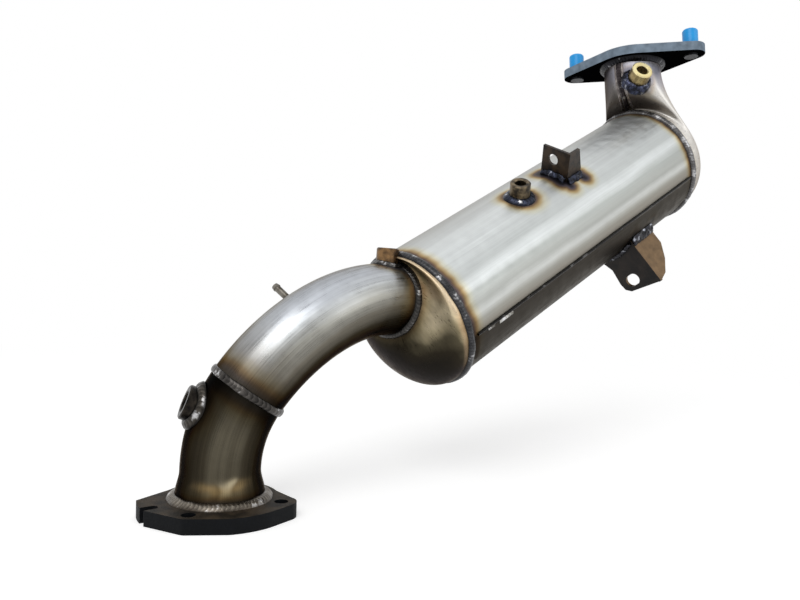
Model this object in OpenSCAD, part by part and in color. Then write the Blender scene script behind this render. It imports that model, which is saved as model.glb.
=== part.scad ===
// Diesel particulate filter: bent inlet pipe, can with two bricks, elbow outlet cone.
// Frame: origin at the bore of the inlet flange on its mating face, +Z up out of
// that face, +X along the can seen from above. Millimetres.

/* [Pipe] */
// Outside diameter of the inlet pipe
pipe_d = 63.5; // [58:0.5:70]
// Wall of the inlet pipe
pipe_wall = 1.5; // [1:0.1:2.5]
// Outside diameter of the flared foot on the flange
foot_d = 70.5; // [66:0.5:76]
// Height of the flared foot
foot_h = 18; // [12:1:19]
// Straight run above the inlet flange
lower_straight = 19.5; // [19:0.5:30]
// Bend radius of the lower pipe, at its centre line
lower_bend_r = 114.5; // [105:0.5:130]
// Turn of the lower pipe, in degrees
lower_bend_a = 34.5; // [32:0.5:40]
// Plan direction of the lower bend, in degrees
lower_bend_dir = -25.5; // [-35:0.5:-15]
// Turn of the upper bend about the pipe, in degrees
upper_bend_dir = 40; // [30:1:50]
// Bend radius of the upper pipe, at its centre line
upper_bend_r = 143; // [125:1:165]
// Turn of the upper pipe, in degrees
upper_bend_a = 67.5; // [62:0.5:72]
// Length of pipe pushed inside the inlet cone
pipe_insert = 8; // [4:0.5:14]

/* [Inlet flange] */
// Thickness of the inlet flange
flange_t = 12; // [8:0.5:16]
// Bore of the inlet flange
flange_bore_d = 62; // [54:0.5:64]
// Radius of the collar of the flange around the pipe
flange_collar_r = 46; // [44:0.5:48]
// Radius of the front edge of the flange
flange_front_r = 59; // [56:0.5:62]
// Distance of the three bolt holes from the bore's centre
bolt_r = 51; // [50:0.5:53]
// Diameter of the bolt holes
bolt_d = 11; // [8:0.5:12]
// Radius of the bolt lobes
lobe_r = 14; // [12:0.5:16]
// Width of the open slot in the left edge
slot_w = 8; // [6:0.5:10]

/* [Can] */
// Outside diameter of the can
can_d = 130; // [124:1:140]
// Wall of the can
can_wall = 1.5; // [1:0.1:2.5]
// Length of the can between its two ring welds
can_l = 392; // [360:1:460]
// Slope of the can above the flange plane, in degrees
can_slope = 26; // [20:1:32]
// Place of the pipe's end above the can's axis
entry_up = 28.3; // [24:0.1:31]
// Place of the pipe's end beside the can's axis, away from the brackets
entry_side = 4.7; // [0:0.1:6]
// Distance of the pipe's end in front of the can
entry_ahead = 17.9; // [17:0.1:22]
// Start of the lap strip around the can, in degrees from its top
lap_start = 104; // [90:1:110]
// Width of the lap strip around the can, in degrees
lap_width = 26; // [10:1:27]
// Thickness that the lap strip adds
lap_t = 1.2; // [0.6:0.1:2]

/* [Cones] */
// Wall of the pressed cones
cone_wall = 2; // [1.5:0.1:3]
// Straight skirt of the inlet cone
inlet_skirt = 5; // [4:0.5:8]
// Depth of the rounded part of the inlet cone
inlet_bulge = 24; // [18:1:28]
// Straight skirt of the outlet cone
outlet_skirt = 12; // [8:0.5:16]
// Depth of the rounded part of the outlet cone
outlet_bulge = 46; // [36:1:50]
// Outside diameter of the outlet neck
neck_d = 63; // [58:0.5:68]
// Straight height of the outlet neck
neck_h = 8; // [7:0.5:12]
// Height of the outlet flange above the can's axis
outlet_up = 112; // [104:1:125]
// Distance of the outlet flange past the end of the can
outlet_past = 23; // [18:1:32]
// Turn of the outlet from the can's axis, in degrees
outlet_turn = 60; // [54:1:66]
// Lean of the outlet away from the brackets' side, in degrees
outlet_lean = 8; // [0:1:12]

/* [Outlet flange] */
// Thickness of the outlet flange
outlet_flange_t = 10; // [8:0.5:14]
// Bore of the outlet flange
outlet_bore_d = 57; // [50:0.5:58]
// Radius of the round middle of the outlet flange
outlet_body_r = 43; // [42:0.5:46]
// Distance between the two studs
stud_pitch = 132; // [124:1:150]
// Turn of the line through the studs, in degrees
stud_line_a = 17; // [10:1:25]
// Radius of the flange's ears
ear_r = 15; // [13:0.5:17]
// Diameter of the studs
stud_d = 10; // [8:0.5:12]
// Length of stud above the outlet flange
stud_l = 15; // [10:1:16]
// Outside diameter of the stud caps
cap_d = 17; // [15:0.5:19]
// Height of the stud caps
cap_h = 19; // [17:0.5:28]

/* [Bosses] */
// Outside diameter of the lambda boss on the lower pipe
lambda_d = 28; // [24:0.5:30]
// Thread core diameter of the lambda boss
lambda_bore_d = 16.4; // [14:0.1:17]
// Height of the lambda boss above the pipe
lambda_h = 8; // [6:0.5:18]
// Outside diameter of the temperature bosses
boss_d = 20; // [18:0.5:22]
// Thread core diameter of the temperature bosses
boss_bore_d = 11; // [9:0.1:13]
// Height of the boss on the upper pipe
pipe_boss_h = 14; // [12:0.5:18]
// Height of the boss on the can
can_boss_h = 16; // [12:0.5:20]
// Place of the boss along the can
can_boss_at = 146; // [144:1:150]
// Outside diameter of the boss on the outlet cone
outlet_boss_d = 23; // [20:0.5:25]
// Thread core diameter of the boss on the outlet cone
outlet_boss_bore_d = 12.4; // [10:0.1:14]
// Height of the boss on the outlet cone
outlet_boss_h = 15; // [12:0.5:18]
// Outside diameter of the pressure nipple
nipple_d = 6; // [5:0.5:8]
// Bore of the pressure nipple
nipple_bore_d = 4; // [3:0.1:4.5]
// Length of the pressure nipple outside the pipe
nipple_l = 20; // [14:1:30]

/* [Brackets] */
// Sheet thickness of the brackets
bracket_t = 3; // [2:0.5:4]
// Width of the upper bracket across the can
upper_w = 32; // [28:1:38]
// Height of the upper bracket above the can
upper_h = 29; // [26:1:36]
// Length of the upper bracket's fold along the can
upper_fold = 23; // [18:1:28]
// Place of the upper bracket along the can
upper_at = 203; // [196:1:220]
// Hole in the upper bracket
upper_hole_d = 11.5; // [8:0.5:13]
// Width of the lower bracket across the can
lower_w = 46; // [42:1:52]
// Height of the lower bracket above the can
lower_h = 50; // [46:1:56]
// Length of the lower bracket's fold along the can
lower_fold = 38; // [30:1:46]
// Place of the lower bracket along the can
lower_at = 268; // [255:1:285]
// Length of the slot in the lower bracket
lower_slot_l = 18; // [14:0.5:20]
// Width of the slot in the lower bracket
lower_slot_w = 13; // [9:0.5:14]

/* [Bricks] */
// Length of the oxidation brick
oxidation_l = 112; // [90:1:114]
// Length of the filter brick
filter_l = 214; // [160:1:216]
// Thickness of the mounting mats
mat_t = 4.3; // [3:0.1:6]
// Width of the mesh rings at the ends of the mats
ring_w = 6; // [4:0.5:8]
// Distance of the first brick from the inlet end of the can
brick_start = 18; // [14:1:20]
// Distance of the filter brick from the boss
brick_gap = 12; // [11:1:16]

/* [Welds] */
// Width of the ring welds
bead_w = 8; // [6:0.5:9]
// Height of the ring welds
bead_h = 3; // [2:0.5:4]
// Width of the welds around the bosses
boss_weld_w = 5; // [3:0.5:6]
// Height of the welds around the bosses
boss_weld_h = 3; // [2:0.5:4]

/* [Hidden] */
$fn = 64;
hull_fn = 32;
eps = 0.01;
slip = 0.1;
bead_steps = 10;
pipe_r = pipe_d / 2;
foot_r = foot_d / 2;
can_r = can_d / 2;
can_in_r = can_r - can_wall;
neck_r = neck_d / 2;
brick_r = can_in_r - mat_t;
// places read as angles around the pipe or the can
lambda_turn = 0.632 * lower_bend_a;
lambda_dir = 183;
nipple_turn = 0.462 * upper_bend_a;
pipe_insert_a = pipe_insert / upper_bend_r * 180 / PI;
nipple_dir = 106;
pipe_boss_back = (boss_d / 2 - 1) / upper_bend_r * 180 / PI;
pipe_boss_dir = 161;
can_boss_dir = 24;
upper_dir = 24;
lower_dir = 150;
outlet_boss_dir = 42;
outlet_boss_aim = 16;
outlet_boss_tilt = 23;
outlet_boss_drop = 26;
slot_dir = 177;
hidden_bolt_dir = 62;
front_bolt_dir = -145;
right_bolt_dir = -52;
collar_rim = 5;
entry_weld_l = 5.4;
bead_lift = 0.12;
weld_gap = 0.3;
hood_turn = 85;
hood_step = 0.1;
hood_r = 0.84 * can_r;
hood_low = [0.25 * can_r, 0, outlet_skirt + 0.4 * outlet_bulge];
hood_top = [outlet_up, 0, outlet_past] - neck_h * turn_y(turn_x([0, 0, 1], outlet_lean), outlet_turn);
foot_lip = 6;
boss_sink = 8;
boss_relief = 1.5;
boss_step = 0.8;

// Vector helpers: turn about Z, turn about Y, and the chord of a bend.
function turn_z(v, a) = [v[0] * cos(a) - v[1] * sin(a), v[0] * sin(a) + v[1] * cos(a), v[2]];
function turn_y(v, a) = [v[0] * cos(a) + v[2] * sin(a), v[1], v[2] * cos(a) - v[0] * sin(a)];
function turn_x(v, a) = [v[0], v[1] * cos(a) - v[2] * sin(a), v[1] * sin(a) + v[2] * cos(a)];
function bend_step(r, a) = [r * (1 - cos(a)), 0, r * sin(a)];
function arc(c, r, a0, a1, n = 12) =
    [for (i = [0 : n]) let (a = a0 + (a1 - a0) * i / n) [c[0] + r * cos(a), c[1] + r * sin(a)]];
function polar(r, a) = [r * cos(a), r * sin(a)];

// Path of the inlet pipe, run by run, to the point where it meets the cone.
lower_run = [0, 0, flange_t + lower_straight] + bend_step(lower_bend_r, lower_bend_a);
upper_run = turn_z(bend_step(upper_bend_r, upper_bend_a), upper_bend_dir);
pipe_end = turn_z(lower_run + turn_y(upper_run, lower_bend_a), lower_bend_dir);
// Centre of the can's inlet end: the can's frame has X up, Y towards the brackets' side, Z along the can.
can_tilt = 90 - can_slope;
can_start = pipe_end - turn_y(turn_z([entry_up, -entry_side, -entry_ahead], 180), can_tilt);

module at_lower(a) {
    rotate([0, 0, lower_bend_dir]) translate([0, 0, flange_t + lower_straight])
        translate(bend_step(lower_bend_r, a)) rotate([0, a, 0]) children();
}
module at_joint() {
    at_lower(lower_bend_a) children();
}
module at_upper(a) {
    at_joint() rotate([0, 0, upper_bend_dir]) translate(bend_step(upper_bend_r, a))
        rotate([0, a, 0]) children();
}
module at_entry() {
    at_upper(upper_bend_a) children();
}
module at_can() {
    translate(can_start) rotate([0, can_tilt, 0]) rotate([0, 0, 180]) children();
}
module at_outlet() {
    at_can() translate([outlet_up, 0, can_l + outlet_past]) rotate([outlet_lean, outlet_turn, 0]) children();
}
// Frames of the bosses: Z points out of the wall, origin on the wall.
module radial(a, r) {
    rotate([0, 0, a]) translate([r, 0, 0]) rotate([0, 90, 0]) children();
}
module at_lambda() { at_lower(lambda_turn) radial(lambda_dir, pipe_r) children(); }
module at_nipple() { at_upper(nipple_turn) radial(nipple_dir, pipe_r) children(); }
module at_pipe_boss() { at_upper(upper_bend_a - pipe_boss_back) radial(pipe_boss_dir, pipe_r) children(); }
module at_can_boss() { at_can() translate([0, 0, can_boss_at]) radial(can_boss_dir, can_r) children(); }
module at_outlet_boss() {
    at_outlet() rotate([0, 0, outlet_boss_dir]) translate([neck_r, 0, -outlet_boss_drop])
        rotate([0, 90 - outlet_boss_tilt, outlet_boss_aim]) children();
}
module at_stud(side) {
    at_outlet() rotate([0, 0, stud_line_a]) translate([0, side * stud_pitch / 2, 0]) children();
}

// A bar or a tube round a bend: starts at the origin along Z and leans towards +X.
module bend_sweep(bend_r, a) {
    translate([bend_r, 0, 0]) rotate([90, 0, 180])
        rotate_extrude(angle = a) translate([bend_r, 0]) children();
}
module pipe_ring() {
    difference() {
        circle(pipe_r);
        circle(pipe_r - pipe_wall);
    }
}
module lower_bend() { at_lower(0) bend_sweep(lower_bend_r, lower_bend_a) children(); }
module upper_bend() { at_upper(0) bend_sweep(upper_bend_r, upper_bend_a + pipe_insert_a) children(); }
// A half-oval bead around a bar of radius r, seated on a narrow land at its middle.
module ring_bead(r) {
    land = 1;
    rotate_extrude() polygon(concat([[r, land], [r, -land]],
        [for (i = [0 : bead_steps]) let (a = 180 * i / bead_steps)
            [r + bead_lift + bead_h * sin(a), -bead_w / 2 * cos(a)]]));
}
// A hollow boss, from below its wall to its rim, with a chamfered mouth.
module boss_body(d, bore, h) {
    edge = 1;
    rotate_extrude() polygon([[bore / 2, -boss_sink], [d / 2, -boss_sink], [d / 2, h - edge],
        [d / 2 - edge, h], [bore / 2 + edge, h], [bore / 2, h - edge]]);
}
// A boss whose bore opens out at its foot, over the wider hole in the wall.
module stepped_boss_body(d, bore, h) {
    difference() {
        boss_body(d, bore, h);
        translate([0, 0, -boss_sink - 1]) cylinder(d = bore + 2 * boss_relief, h = boss_sink + 1 + boss_step);
    }
}
module boss_drill(bore) {
    translate([0, 0, -boss_sink - 1]) cylinder(d = bore, h = 2 * boss_sink);
}
module weld_disc(d, h) {
    translate([0, 0, -boss_sink]) cylinder(d = d, h = h + boss_sink);
}

// Inlet flange
module flange_outline() {
    polygon(concat(
        arc(polar(bolt_r - 2, right_bolt_dir), lobe_r, -78, 12),
        arc([0, 0], flange_collar_r, -16, 34),
        arc(polar(bolt_r - 2, hidden_bolt_dir), lobe_r, 10, 115),
        arc([0, 0], flange_collar_r, 92, 122),
        arc([0, 0], flange_front_r + lobe_r / 3, 155, 181),
        arc(polar(flange_front_r - 5, front_bolt_dir), lobe_r / 2, -160, -120),
        arc([0, 0], flange_front_r, -112, -78)));
}
module inlet_flange() {
    color([0.08, 0.08, 0.09]) difference() {
        linear_extrude(flange_t) flange_outline();
        translate([0, 0, -eps]) cylinder(d = flange_bore_d, h = flange_t + 2 * eps);
        for (a = [right_bolt_dir, hidden_bolt_dir, front_bolt_dir])
            translate(concat(polar(bolt_r, a), -eps)) cylinder(d = bolt_d, h = flange_t + 2 * eps);
        rotate([0, 0, slot_dir]) translate([bolt_r + slot_w / 2, 0, -eps]) {
            cylinder(d = slot_w, h = flange_t + 2 * eps);
            translate([0, -slot_w / 2, 0]) cube([flange_front_r, slot_w, flange_t + 2 * eps]);
        }
    }
}
module inlet_flange_weld() {
    color([0.5, 0.47, 0.42]) translate([0, 0, flange_t]) rotate_extrude()
        polygon([[foot_r, 0], [foot_r + 6, 0], [foot_r + 5, 2], [foot_r + 2.4, 4.2], [foot_r, 5]]);
}

// Inlet pipes
module lower_pipe() {
    edge = foot_r - pipe_wall;
    bore = pipe_r - pipe_wall;
    color([0.55, 0.5, 0.44]) difference() {
        union() {
            rotate([0, 0, lower_bend_dir]) translate([0, 0, flange_t]) rotate_extrude()
                polygon([[edge, 0], [foot_r, 0], [foot_r, foot_lip], [pipe_r, foot_h],
                    [pipe_r, lower_straight],
                    [bore, lower_straight], [bore, foot_h], [edge, foot_lip]]);
            lower_bend() pipe_ring();
        }
        at_lambda() boss_drill(lambda_bore_d);
    }
}
module lambda_boss() {
    color([0.42, 0.38, 0.33]) difference() {
        at_lambda() boss_body(lambda_d, lambda_bore_d, lambda_h);
        lower_bend($fn = 3 * $fn) circle(pipe_r);
    }
}
module lambda_boss_weld() {
    color([0.5, 0.48, 0.45]) difference() {
        intersection() {
            lower_bend() circle(pipe_r + boss_weld_h);
            at_lambda() weld_disc(lambda_d + 2 * boss_weld_w, lambda_h);
        }
        lower_bend() circle(pipe_r);
        at_lambda() weld_disc(lambda_d, lambda_h + 1);
    }
}
module pipe_joint_weld() {
    color([0.4, 0.38, 0.36]) at_joint() ring_bead(pipe_r);
}
module upper_pipe() {
    color([0.58, 0.55, 0.5]) difference() {
        upper_bend() pipe_ring();
        at_pipe_boss() boss_drill(boss_bore_d + 2 * boss_relief);
        at_nipple() boss_drill(nipple_bore_d);
    }
}
module pressure_nipple() {
    rim = 0.6;
    color([0.6, 0.58, 0.54]) difference() {
        at_nipple() rotate_extrude() polygon([[nipple_bore_d / 2, -boss_sink], [nipple_d / 2, -boss_sink],
            [nipple_d / 2, nipple_l - 4], [nipple_d / 2 + rim, nipple_l - 3], [nipple_d / 2, nipple_l],
            [nipple_bore_d / 2, nipple_l]]);
        upper_bend() circle(pipe_r);
    }
}
module pressure_nipple_weld() {
    color([0.4, 0.38, 0.36]) difference() {
        intersection() {
            upper_bend() circle(pipe_r + boss_weld_h / 2);
            at_nipple() weld_disc(nipple_d + boss_weld_w, nipple_l);
        }
        upper_bend() circle(pipe_r);
        at_nipple() weld_disc(nipple_d, nipple_l + 1);
    }
}
module pipe_sensor_boss() {
    color([0.45, 0.36, 0.26]) difference() {
        at_pipe_boss() stepped_boss_body(boss_d, boss_bore_d, pipe_boss_h);
        upper_bend() circle(pipe_r);
        at_can() cylinder(r = can_r, h = can_l);
    }
}
module pipe_sensor_boss_weld() {
    color([0.38, 0.36, 0.34]) difference() {
        intersection() {
            upper_bend() circle(pipe_r + boss_weld_h);
            at_pipe_boss() weld_disc(boss_d + boss_weld_w, pipe_boss_h);
        }
        upper_bend() circle(pipe_r);
        at_pipe_boss() weld_disc(boss_d, pipe_boss_h + 1);
        at_entry() translate([0, 0, -entry_weld_l]) cylinder(r = can_r, h = can_r);
        inlet_cone_shape(0);
    }
}

// A half-oval dome on a flat base, rising along Z.
module dome(r, depth) {
    steps = 8;
    rotate_extrude($fn = 2 * hull_fn) polygon(concat([[0, 0]],
        [for (i = [0 : steps]) let (a = 90 * i / steps) [r * cos(a), depth * sin(a)]]));
}

// Inlet cone: a pressed cap, blended from the can's rim to the tilted mouth for the pipe.
module inlet_cone_shape(shrink) {
    bulge_r = 0.8 * can_r;
    inside = shrink > 0 ? 1 : 0;
    hull() {
        at_can() translate([0, 0, -inlet_skirt]) cylinder(r = can_r - shrink, h = inlet_skirt + inside,
            $fn = 2 * hull_fn);
        at_can() translate([bulge_r - can_r, 0, -inlet_skirt]) mirror([0, 0, 1])
            dome(bulge_r - shrink, inlet_bulge - shrink);
        at_entry() translate([0, 0, shrink])
            cylinder(r = pipe_r + collar_rim - shrink, h = 1, $fn = 2 * hull_fn);
    }
}
module inlet_cone() {
    color([0.62, 0.52, 0.4]) difference() {
        inlet_cone_shape(0);
        inlet_cone_shape(cone_wall);
        at_entry() translate([0, 0, -pipe_insert]) cylinder(r = pipe_r, h = 3 * pipe_insert);
        upper_bend() circle(pipe_r);
        at_pipe_boss() weld_disc(boss_d, pipe_boss_h);
        at_can() cylinder(r = can_r + 1, h = can_r);
    }
}
module entry_weld_shape() {
    rotate_extrude() polygon([[pipe_r, 0], [pipe_r + collar_rim - 0.5, 0], [pipe_r + collar_rim - 1.2, -2.4],
        [pipe_r + 2, -4.6], [pipe_r + bead_lift, -entry_weld_l], [pipe_r, -1]]);
}
module inlet_cone_pipe_weld() {
    color([0.38, 0.34, 0.3]) difference() {
        at_entry() entry_weld_shape();
        at_pipe_boss() weld_disc(boss_d, pipe_boss_h);
        inlet_cone_shape(0);
    }
}
module inlet_cone_can_weld() {
    color([0.36, 0.33, 0.3]) difference() {
        at_can() ring_bead(can_r);
        at_pipe_boss() weld_disc(boss_d, pipe_boss_h);
    }
}

// Can
module lap_strip(r0, r1, a0, width, from, to) {
    rotate([0, 0, a0]) translate([0, 0, from]) rotate_extrude(angle = width)
        translate([r0, 0]) square([r1 - r0, to - from]);
}
module can_shell() {
    color([0.78, 0.78, 0.76]) difference() {
        union() {
            at_can() cylinder(r = can_r, h = can_l);
            at_can()
                lap_strip(can_r - can_wall / 2, can_r + lap_t, lap_start, lap_width, bead_w, can_l - bead_w);
        }
        at_can() translate([0, 0, -eps]) cylinder(r = can_in_r, h = can_l + 2 * eps);
        at_can_boss() boss_drill(boss_bore_d + 2 * boss_relief);
    }
}
module can_seam_weld() {
    color([0.36, 0.34, 0.32]) at_can()
        lap_strip(can_r, can_r + lap_t, lap_start - 2, 2, bead_w, can_l - bead_w);
}
module can_sensor_boss() {
    color([0.42, 0.39, 0.34]) difference() {
        at_can_boss() stepped_boss_body(boss_d, boss_bore_d, can_boss_h);
        at_can() cylinder(r = can_r, h = can_l);
    }
}
module can_sensor_boss_weld() {
    color([0.2, 0.2, 0.22]) difference() {
        intersection() {
            at_can() cylinder(r = can_r + boss_weld_h, h = can_l);
            at_can_boss() weld_disc(boss_d + 2 * boss_weld_w, can_boss_h);
        }
        at_can() cylinder(r = can_r, h = can_l);
        at_can_boss() weld_disc(boss_d, can_boss_h + eps);
    }
}

// Brackets: a plate across the can with a hole, and a fold along the can.
module upper_bracket() {
    half = upper_w / 2;
    color([0.16, 0.13, 0.11]) difference() {
        at_can() rotate([0, 0, upper_dir]) translate([can_r - can_wall, 0, upper_at]) {
            rotate([90, 0, 90]) linear_extrude(upper_h + can_wall)
                polygon([[-half, 0], [half, 0], [half, upper_fold], [half - bracket_t, upper_fold],
                    [half - bracket_t, bracket_t], [-half, bracket_t]]);
        }
        at_can() cylinder(r = can_r, h = can_l);
        at_can() rotate([0, 0, upper_dir]) translate([can_r + 0.58 * upper_h, -0.1 * upper_w, upper_at - 1])
            cylinder(d = upper_hole_d, h = bracket_t + 2);
        at_can() rotate([0, 0, upper_dir]) translate([can_r, 0, upper_at + upper_fold])
            rotate([90, 0, 0]) translate([0, 0, -upper_w]) linear_extrude(2 * upper_w)
            polygon([[2, 1], [upper_h + 9, -9], [upper_h + 9, 9], [2, 9]]);
    }
}
module across_fillet(dir, width, at) {
    leg = 5;
    at_can() rotate([0, 0, dir - width / 2]) translate([0, 0, at]) rotate_extrude(angle = width)
        polygon([[can_r, -leg], [can_r + leg / 2, -0.7 * leg], [can_r + leg, 0], [can_r, 0]]);
}
module upper_bracket_weld() {
    half = upper_w / 2;
    color([0.12, 0.13, 0.17]) {
        across_fillet(upper_dir, upper_w / can_r * 50, upper_at);
        difference() {
            at_can() rotate([0, 0, upper_dir]) translate([can_r - 8, half, upper_at])
                linear_extrude(upper_fold)
                polygon([[0, 0], [0, 7], [5.5, 5], [10, 2], [12, 0]]);
            at_can() cylinder(r = can_r, h = can_l);
        }
    }
}
module lower_bracket() {
    half = lower_w / 2;
    tip = 0.3 * lower_w;
    color([0.1, 0.09, 0.08]) difference() {
        at_can() rotate([0, 0, lower_dir]) {
            translate([0, 0, lower_at]) linear_extrude(bracket_t)
                polygon([[can_r - 12, -half], [can_r + lower_h, -half], [can_r + lower_h - 7, half - 4],
                    [can_r + lower_h - 12, half + 2], [can_r + lower_h - 20, half + 3], [can_r + 12, half],
                    [can_r - 4, half + 6]]);
            translate([0, -half, lower_at]) rotate([-90, 0, 0]) mirror([0, 1, 0]) linear_extrude(bracket_t)
                polygon([[can_r - 12, 0], [can_r + lower_h, 0], [can_r + lower_h - 4, tip],
                    [can_r + lower_h - 16, 0.72 * lower_fold], [can_r + lower_h - 32, lower_fold],
                    [can_r - 12, lower_fold]]);
        }
        at_can() cylinder(r = can_r, h = can_l);
        at_can() lap_strip(can_r - can_wall, can_r + lap_t, lap_start, lap_width, 0, can_l);
        at_can() rotate([0, 0, lower_dir]) translate([can_r + lower_h - 17, 8, lower_at - 1]) {
            cylinder(d = lower_slot_w, h = bracket_t + 2);
            for (s = [-1, 1]) translate([0, s * (lower_slot_l - lower_slot_w) / 2, 0])
                cylinder(d = lower_slot_w, h = bracket_t + 2);
            translate([-lower_slot_w / 2, -(lower_slot_l - lower_slot_w) / 2, 0])
                cube([lower_slot_w, lower_slot_l - lower_slot_w, bracket_t + 2]);
        }
    }
}
module lower_bracket_weld() {
    half = lower_w / 2;
    color([0.3, 0.3, 0.32]) {
        difference() {
            across_fillet(lower_dir, lower_w / can_r * 50, lower_at);
            at_can() lap_strip(can_r - can_wall, can_r + lap_t, lap_start, lap_width, 0, can_l);
        }
        difference() {
            at_can() rotate([0, 0, lower_dir]) translate([can_r - 12, -half, lower_at])
                linear_extrude(lower_fold)
                polygon([[0, 0], [0, -8], [8, -6.5], [14, -3], [17, 0]]);
            at_can() cylinder(r = can_r, h = can_l);
            at_can() lap_strip(can_r - can_wall, can_r + lap_t, lap_start, lap_width, 0, can_l);
        }
    }
}

// Bricks, mats and mesh rings inside the can
filter_start = can_boss_at + brick_gap;
module brick(start, l) {
    at_can() translate([0, 0, start]) cylinder(r = brick_r, h = l);
}
module mat(start, l) {
    at_can() translate([0, 0, start + ring_w]) difference() {
        cylinder(r = can_in_r, h = l - 2 * ring_w);
        translate([0, 0, -eps]) cylinder(r = brick_r, h = l);
    }
}
module mesh_ring(at) {
    at_can() translate([0, 0, at]) difference() {
        cylinder(r = can_in_r, h = ring_w);
        translate([0, 0, -eps]) cylinder(r = brick_r, h = ring_w + 2 * eps);
    }
}
module oxidation_brick() { color([0.72, 0.66, 0.52]) brick(brick_start, oxidation_l); }
module oxidation_mat() { color([0.85, 0.83, 0.76]) mat(brick_start, oxidation_l); }
module filter_brick() { color([0.3, 0.3, 0.31]) brick(filter_start, filter_l); }
module filter_mat() { color([0.85, 0.83, 0.76]) mat(filter_start, filter_l); }
module mat_rings() {
    color([0.6, 0.6, 0.6]) for (run = [[brick_start, oxidation_l], [filter_start, filter_l]]) {
        mesh_ring(run[0]);
        mesh_ring(run[0] + run[1] - ring_w);
    }
}

// Outlet cone: two pressed halves that turn the flow up to the outlet flange. A low dome on the can
// and a hood that narrows from the dome to the neck in steps, its waist drawn in towards the can.
module hood_disc(t, grow) {
    place = hood_low + (hood_top - hood_low) * t;
    r = neck_r + hood_step + (hood_r - neck_r) * pow(1 - t, 2) + grow;
    at_can() translate(place + [0, 0, can_l])
        rotate([outlet_lean * t, hood_turn + (outlet_turn - hood_turn) * t, 0])
            translate([0, 0, -1]) cylinder(r = r, h = 1, $fn = 2 * hull_fn);
}
module outlet_cone_body(grow) {
    steps = 4;
    inside = grow < 0 ? 1 : 0;
    hull() {
        at_can() translate([0, 0, can_l - inside]) cylinder(r = can_r + grow, h = outlet_skirt + inside,
            $fn = 2 * hull_fn);
        at_can() translate([0, 0, can_l + outlet_skirt]) dome(0.97 * can_r + grow, outlet_bulge + grow);
    }
    hull() {
        at_can() translate([0, 0, can_l + outlet_skirt])
            dome(0.82 * can_r + grow, 0.97 * outlet_bulge + grow);
        hood_disc(0, grow);
    }
    for (i = [0 : steps - 1]) hull() {
        hood_disc(i / steps, grow);
        hood_disc((i + 1) / steps, grow);
    }
}
module outlet_cone_shell() {
    difference() {
        union() {
            outlet_cone_body(0);
            at_outlet() translate([0, 0, -neck_h - 0.5])
                cylinder(r = neck_r, h = neck_h + 0.5, $fn = 2 * hull_fn);
        }
        outlet_cone_body(-cone_wall);
        at_outlet() translate([0, 0, -neck_h - 2 * cone_wall])
            cylinder(r = neck_r - cone_wall, h = neck_h + 3 * cone_wall);
        at_outlet_boss() boss_drill(outlet_boss_bore_d);
        at_can() cylinder(r = can_r + 1, h = can_l);
        at_can() translate([0, 0, can_l - bead_w]) rotate_extrude()
            translate([can_r + weld_gap, 0]) square([bead_h + 1, 1.5 * bead_w]);
    }
}
module cone_side(side) {
    reach = 3 * can_d;
    at_can() translate([-reach / 2, side > 0 ? 0 : -reach, can_l - reach / 4]) cube([reach, reach, reach]);
}
module outlet_cone_near_half() {
    color([0.62, 0.58, 0.5]) intersection() { outlet_cone_shell(); cone_side(1); }
}
module outlet_cone_far_half() {
    color([0.58, 0.54, 0.47]) intersection() { outlet_cone_shell(); cone_side(-1); }
}
module outlet_cone_seam_weld() {
    seam_h = 1.6;
    reach = 2 * can_d;
    color([0.5, 0.48, 0.46]) difference() {
        intersection() {
            outlet_cone_body(seam_h);
            at_can() translate([-reach / 2, -bead_w / 2, can_l + bead_w / 2]) cube([reach, bead_w, reach]);
        }
        outlet_cone_body(0);
        at_outlet() translate([0, 0, -neck_h - 2]) cylinder(r = can_r, h = can_r);
    }
}
module outlet_cone_can_weld() {
    color([0.36, 0.33, 0.3]) at_can() translate([0, 0, can_l]) ring_bead(can_r);
}
module outlet_sensor_boss() {
    color([0.86, 0.74, 0.4]) difference() {
        at_outlet_boss() boss_body(outlet_boss_d, outlet_boss_bore_d, outlet_boss_h);
        outlet_cone_body(0);
    }
}
module outlet_sensor_boss_weld() {
    edge = outlet_boss_d / 2;
    color([0.3, 0.3, 0.34]) difference() {
        at_outlet_boss() rotate_extrude() polygon([[edge, -boss_sink], [edge + boss_weld_w, -boss_sink],
            [edge + boss_weld_w, -1], [edge + 0.6 * boss_weld_w, 1.5], [edge, boss_weld_h]]);
        outlet_cone_body(0);
    }
}
module outlet_flange_weld() {
    color([0.3, 0.3, 0.32]) at_outlet() rotate_extrude()
        polygon([[neck_r, 0], [neck_r + 5.5, 0], [neck_r + 4.4, -2.4], [neck_r + 2, -4.6], [neck_r, -5.5]]);
}
module outlet_flange() {
    color([0.2, 0.22, 0.25]) difference() {
        at_outlet() linear_extrude(outlet_flange_t) hull() {
            circle(outlet_body_r, $fn = 2 * hull_fn);
            rotate(stud_line_a) for (s = [-1, 1])
                translate([0, s * stud_pitch / 2]) circle(ear_r, $fn = hull_fn);
        }
        at_outlet() translate([0, 0, -eps]) cylinder(d = outlet_bore_d, h = outlet_flange_t + 2 * eps);
        for (s = [-1, 1]) at_stud(s)
            translate([0, 0, -eps]) cylinder(d = stud_d, h = outlet_flange_t + 2 * eps);
    }
}
module outlet_studs() {
    head_h = 2.5;
    color([0.4, 0.42, 0.45]) for (s = [-1, 1]) at_stud(s) {
        translate([0, 0, -head_h]) cylinder(d = 1.5 * stud_d, h = head_h);
        translate([0, 0, -eps]) cylinder(d = stud_d, h = outlet_flange_t + stud_l + eps);
    }
}
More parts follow.
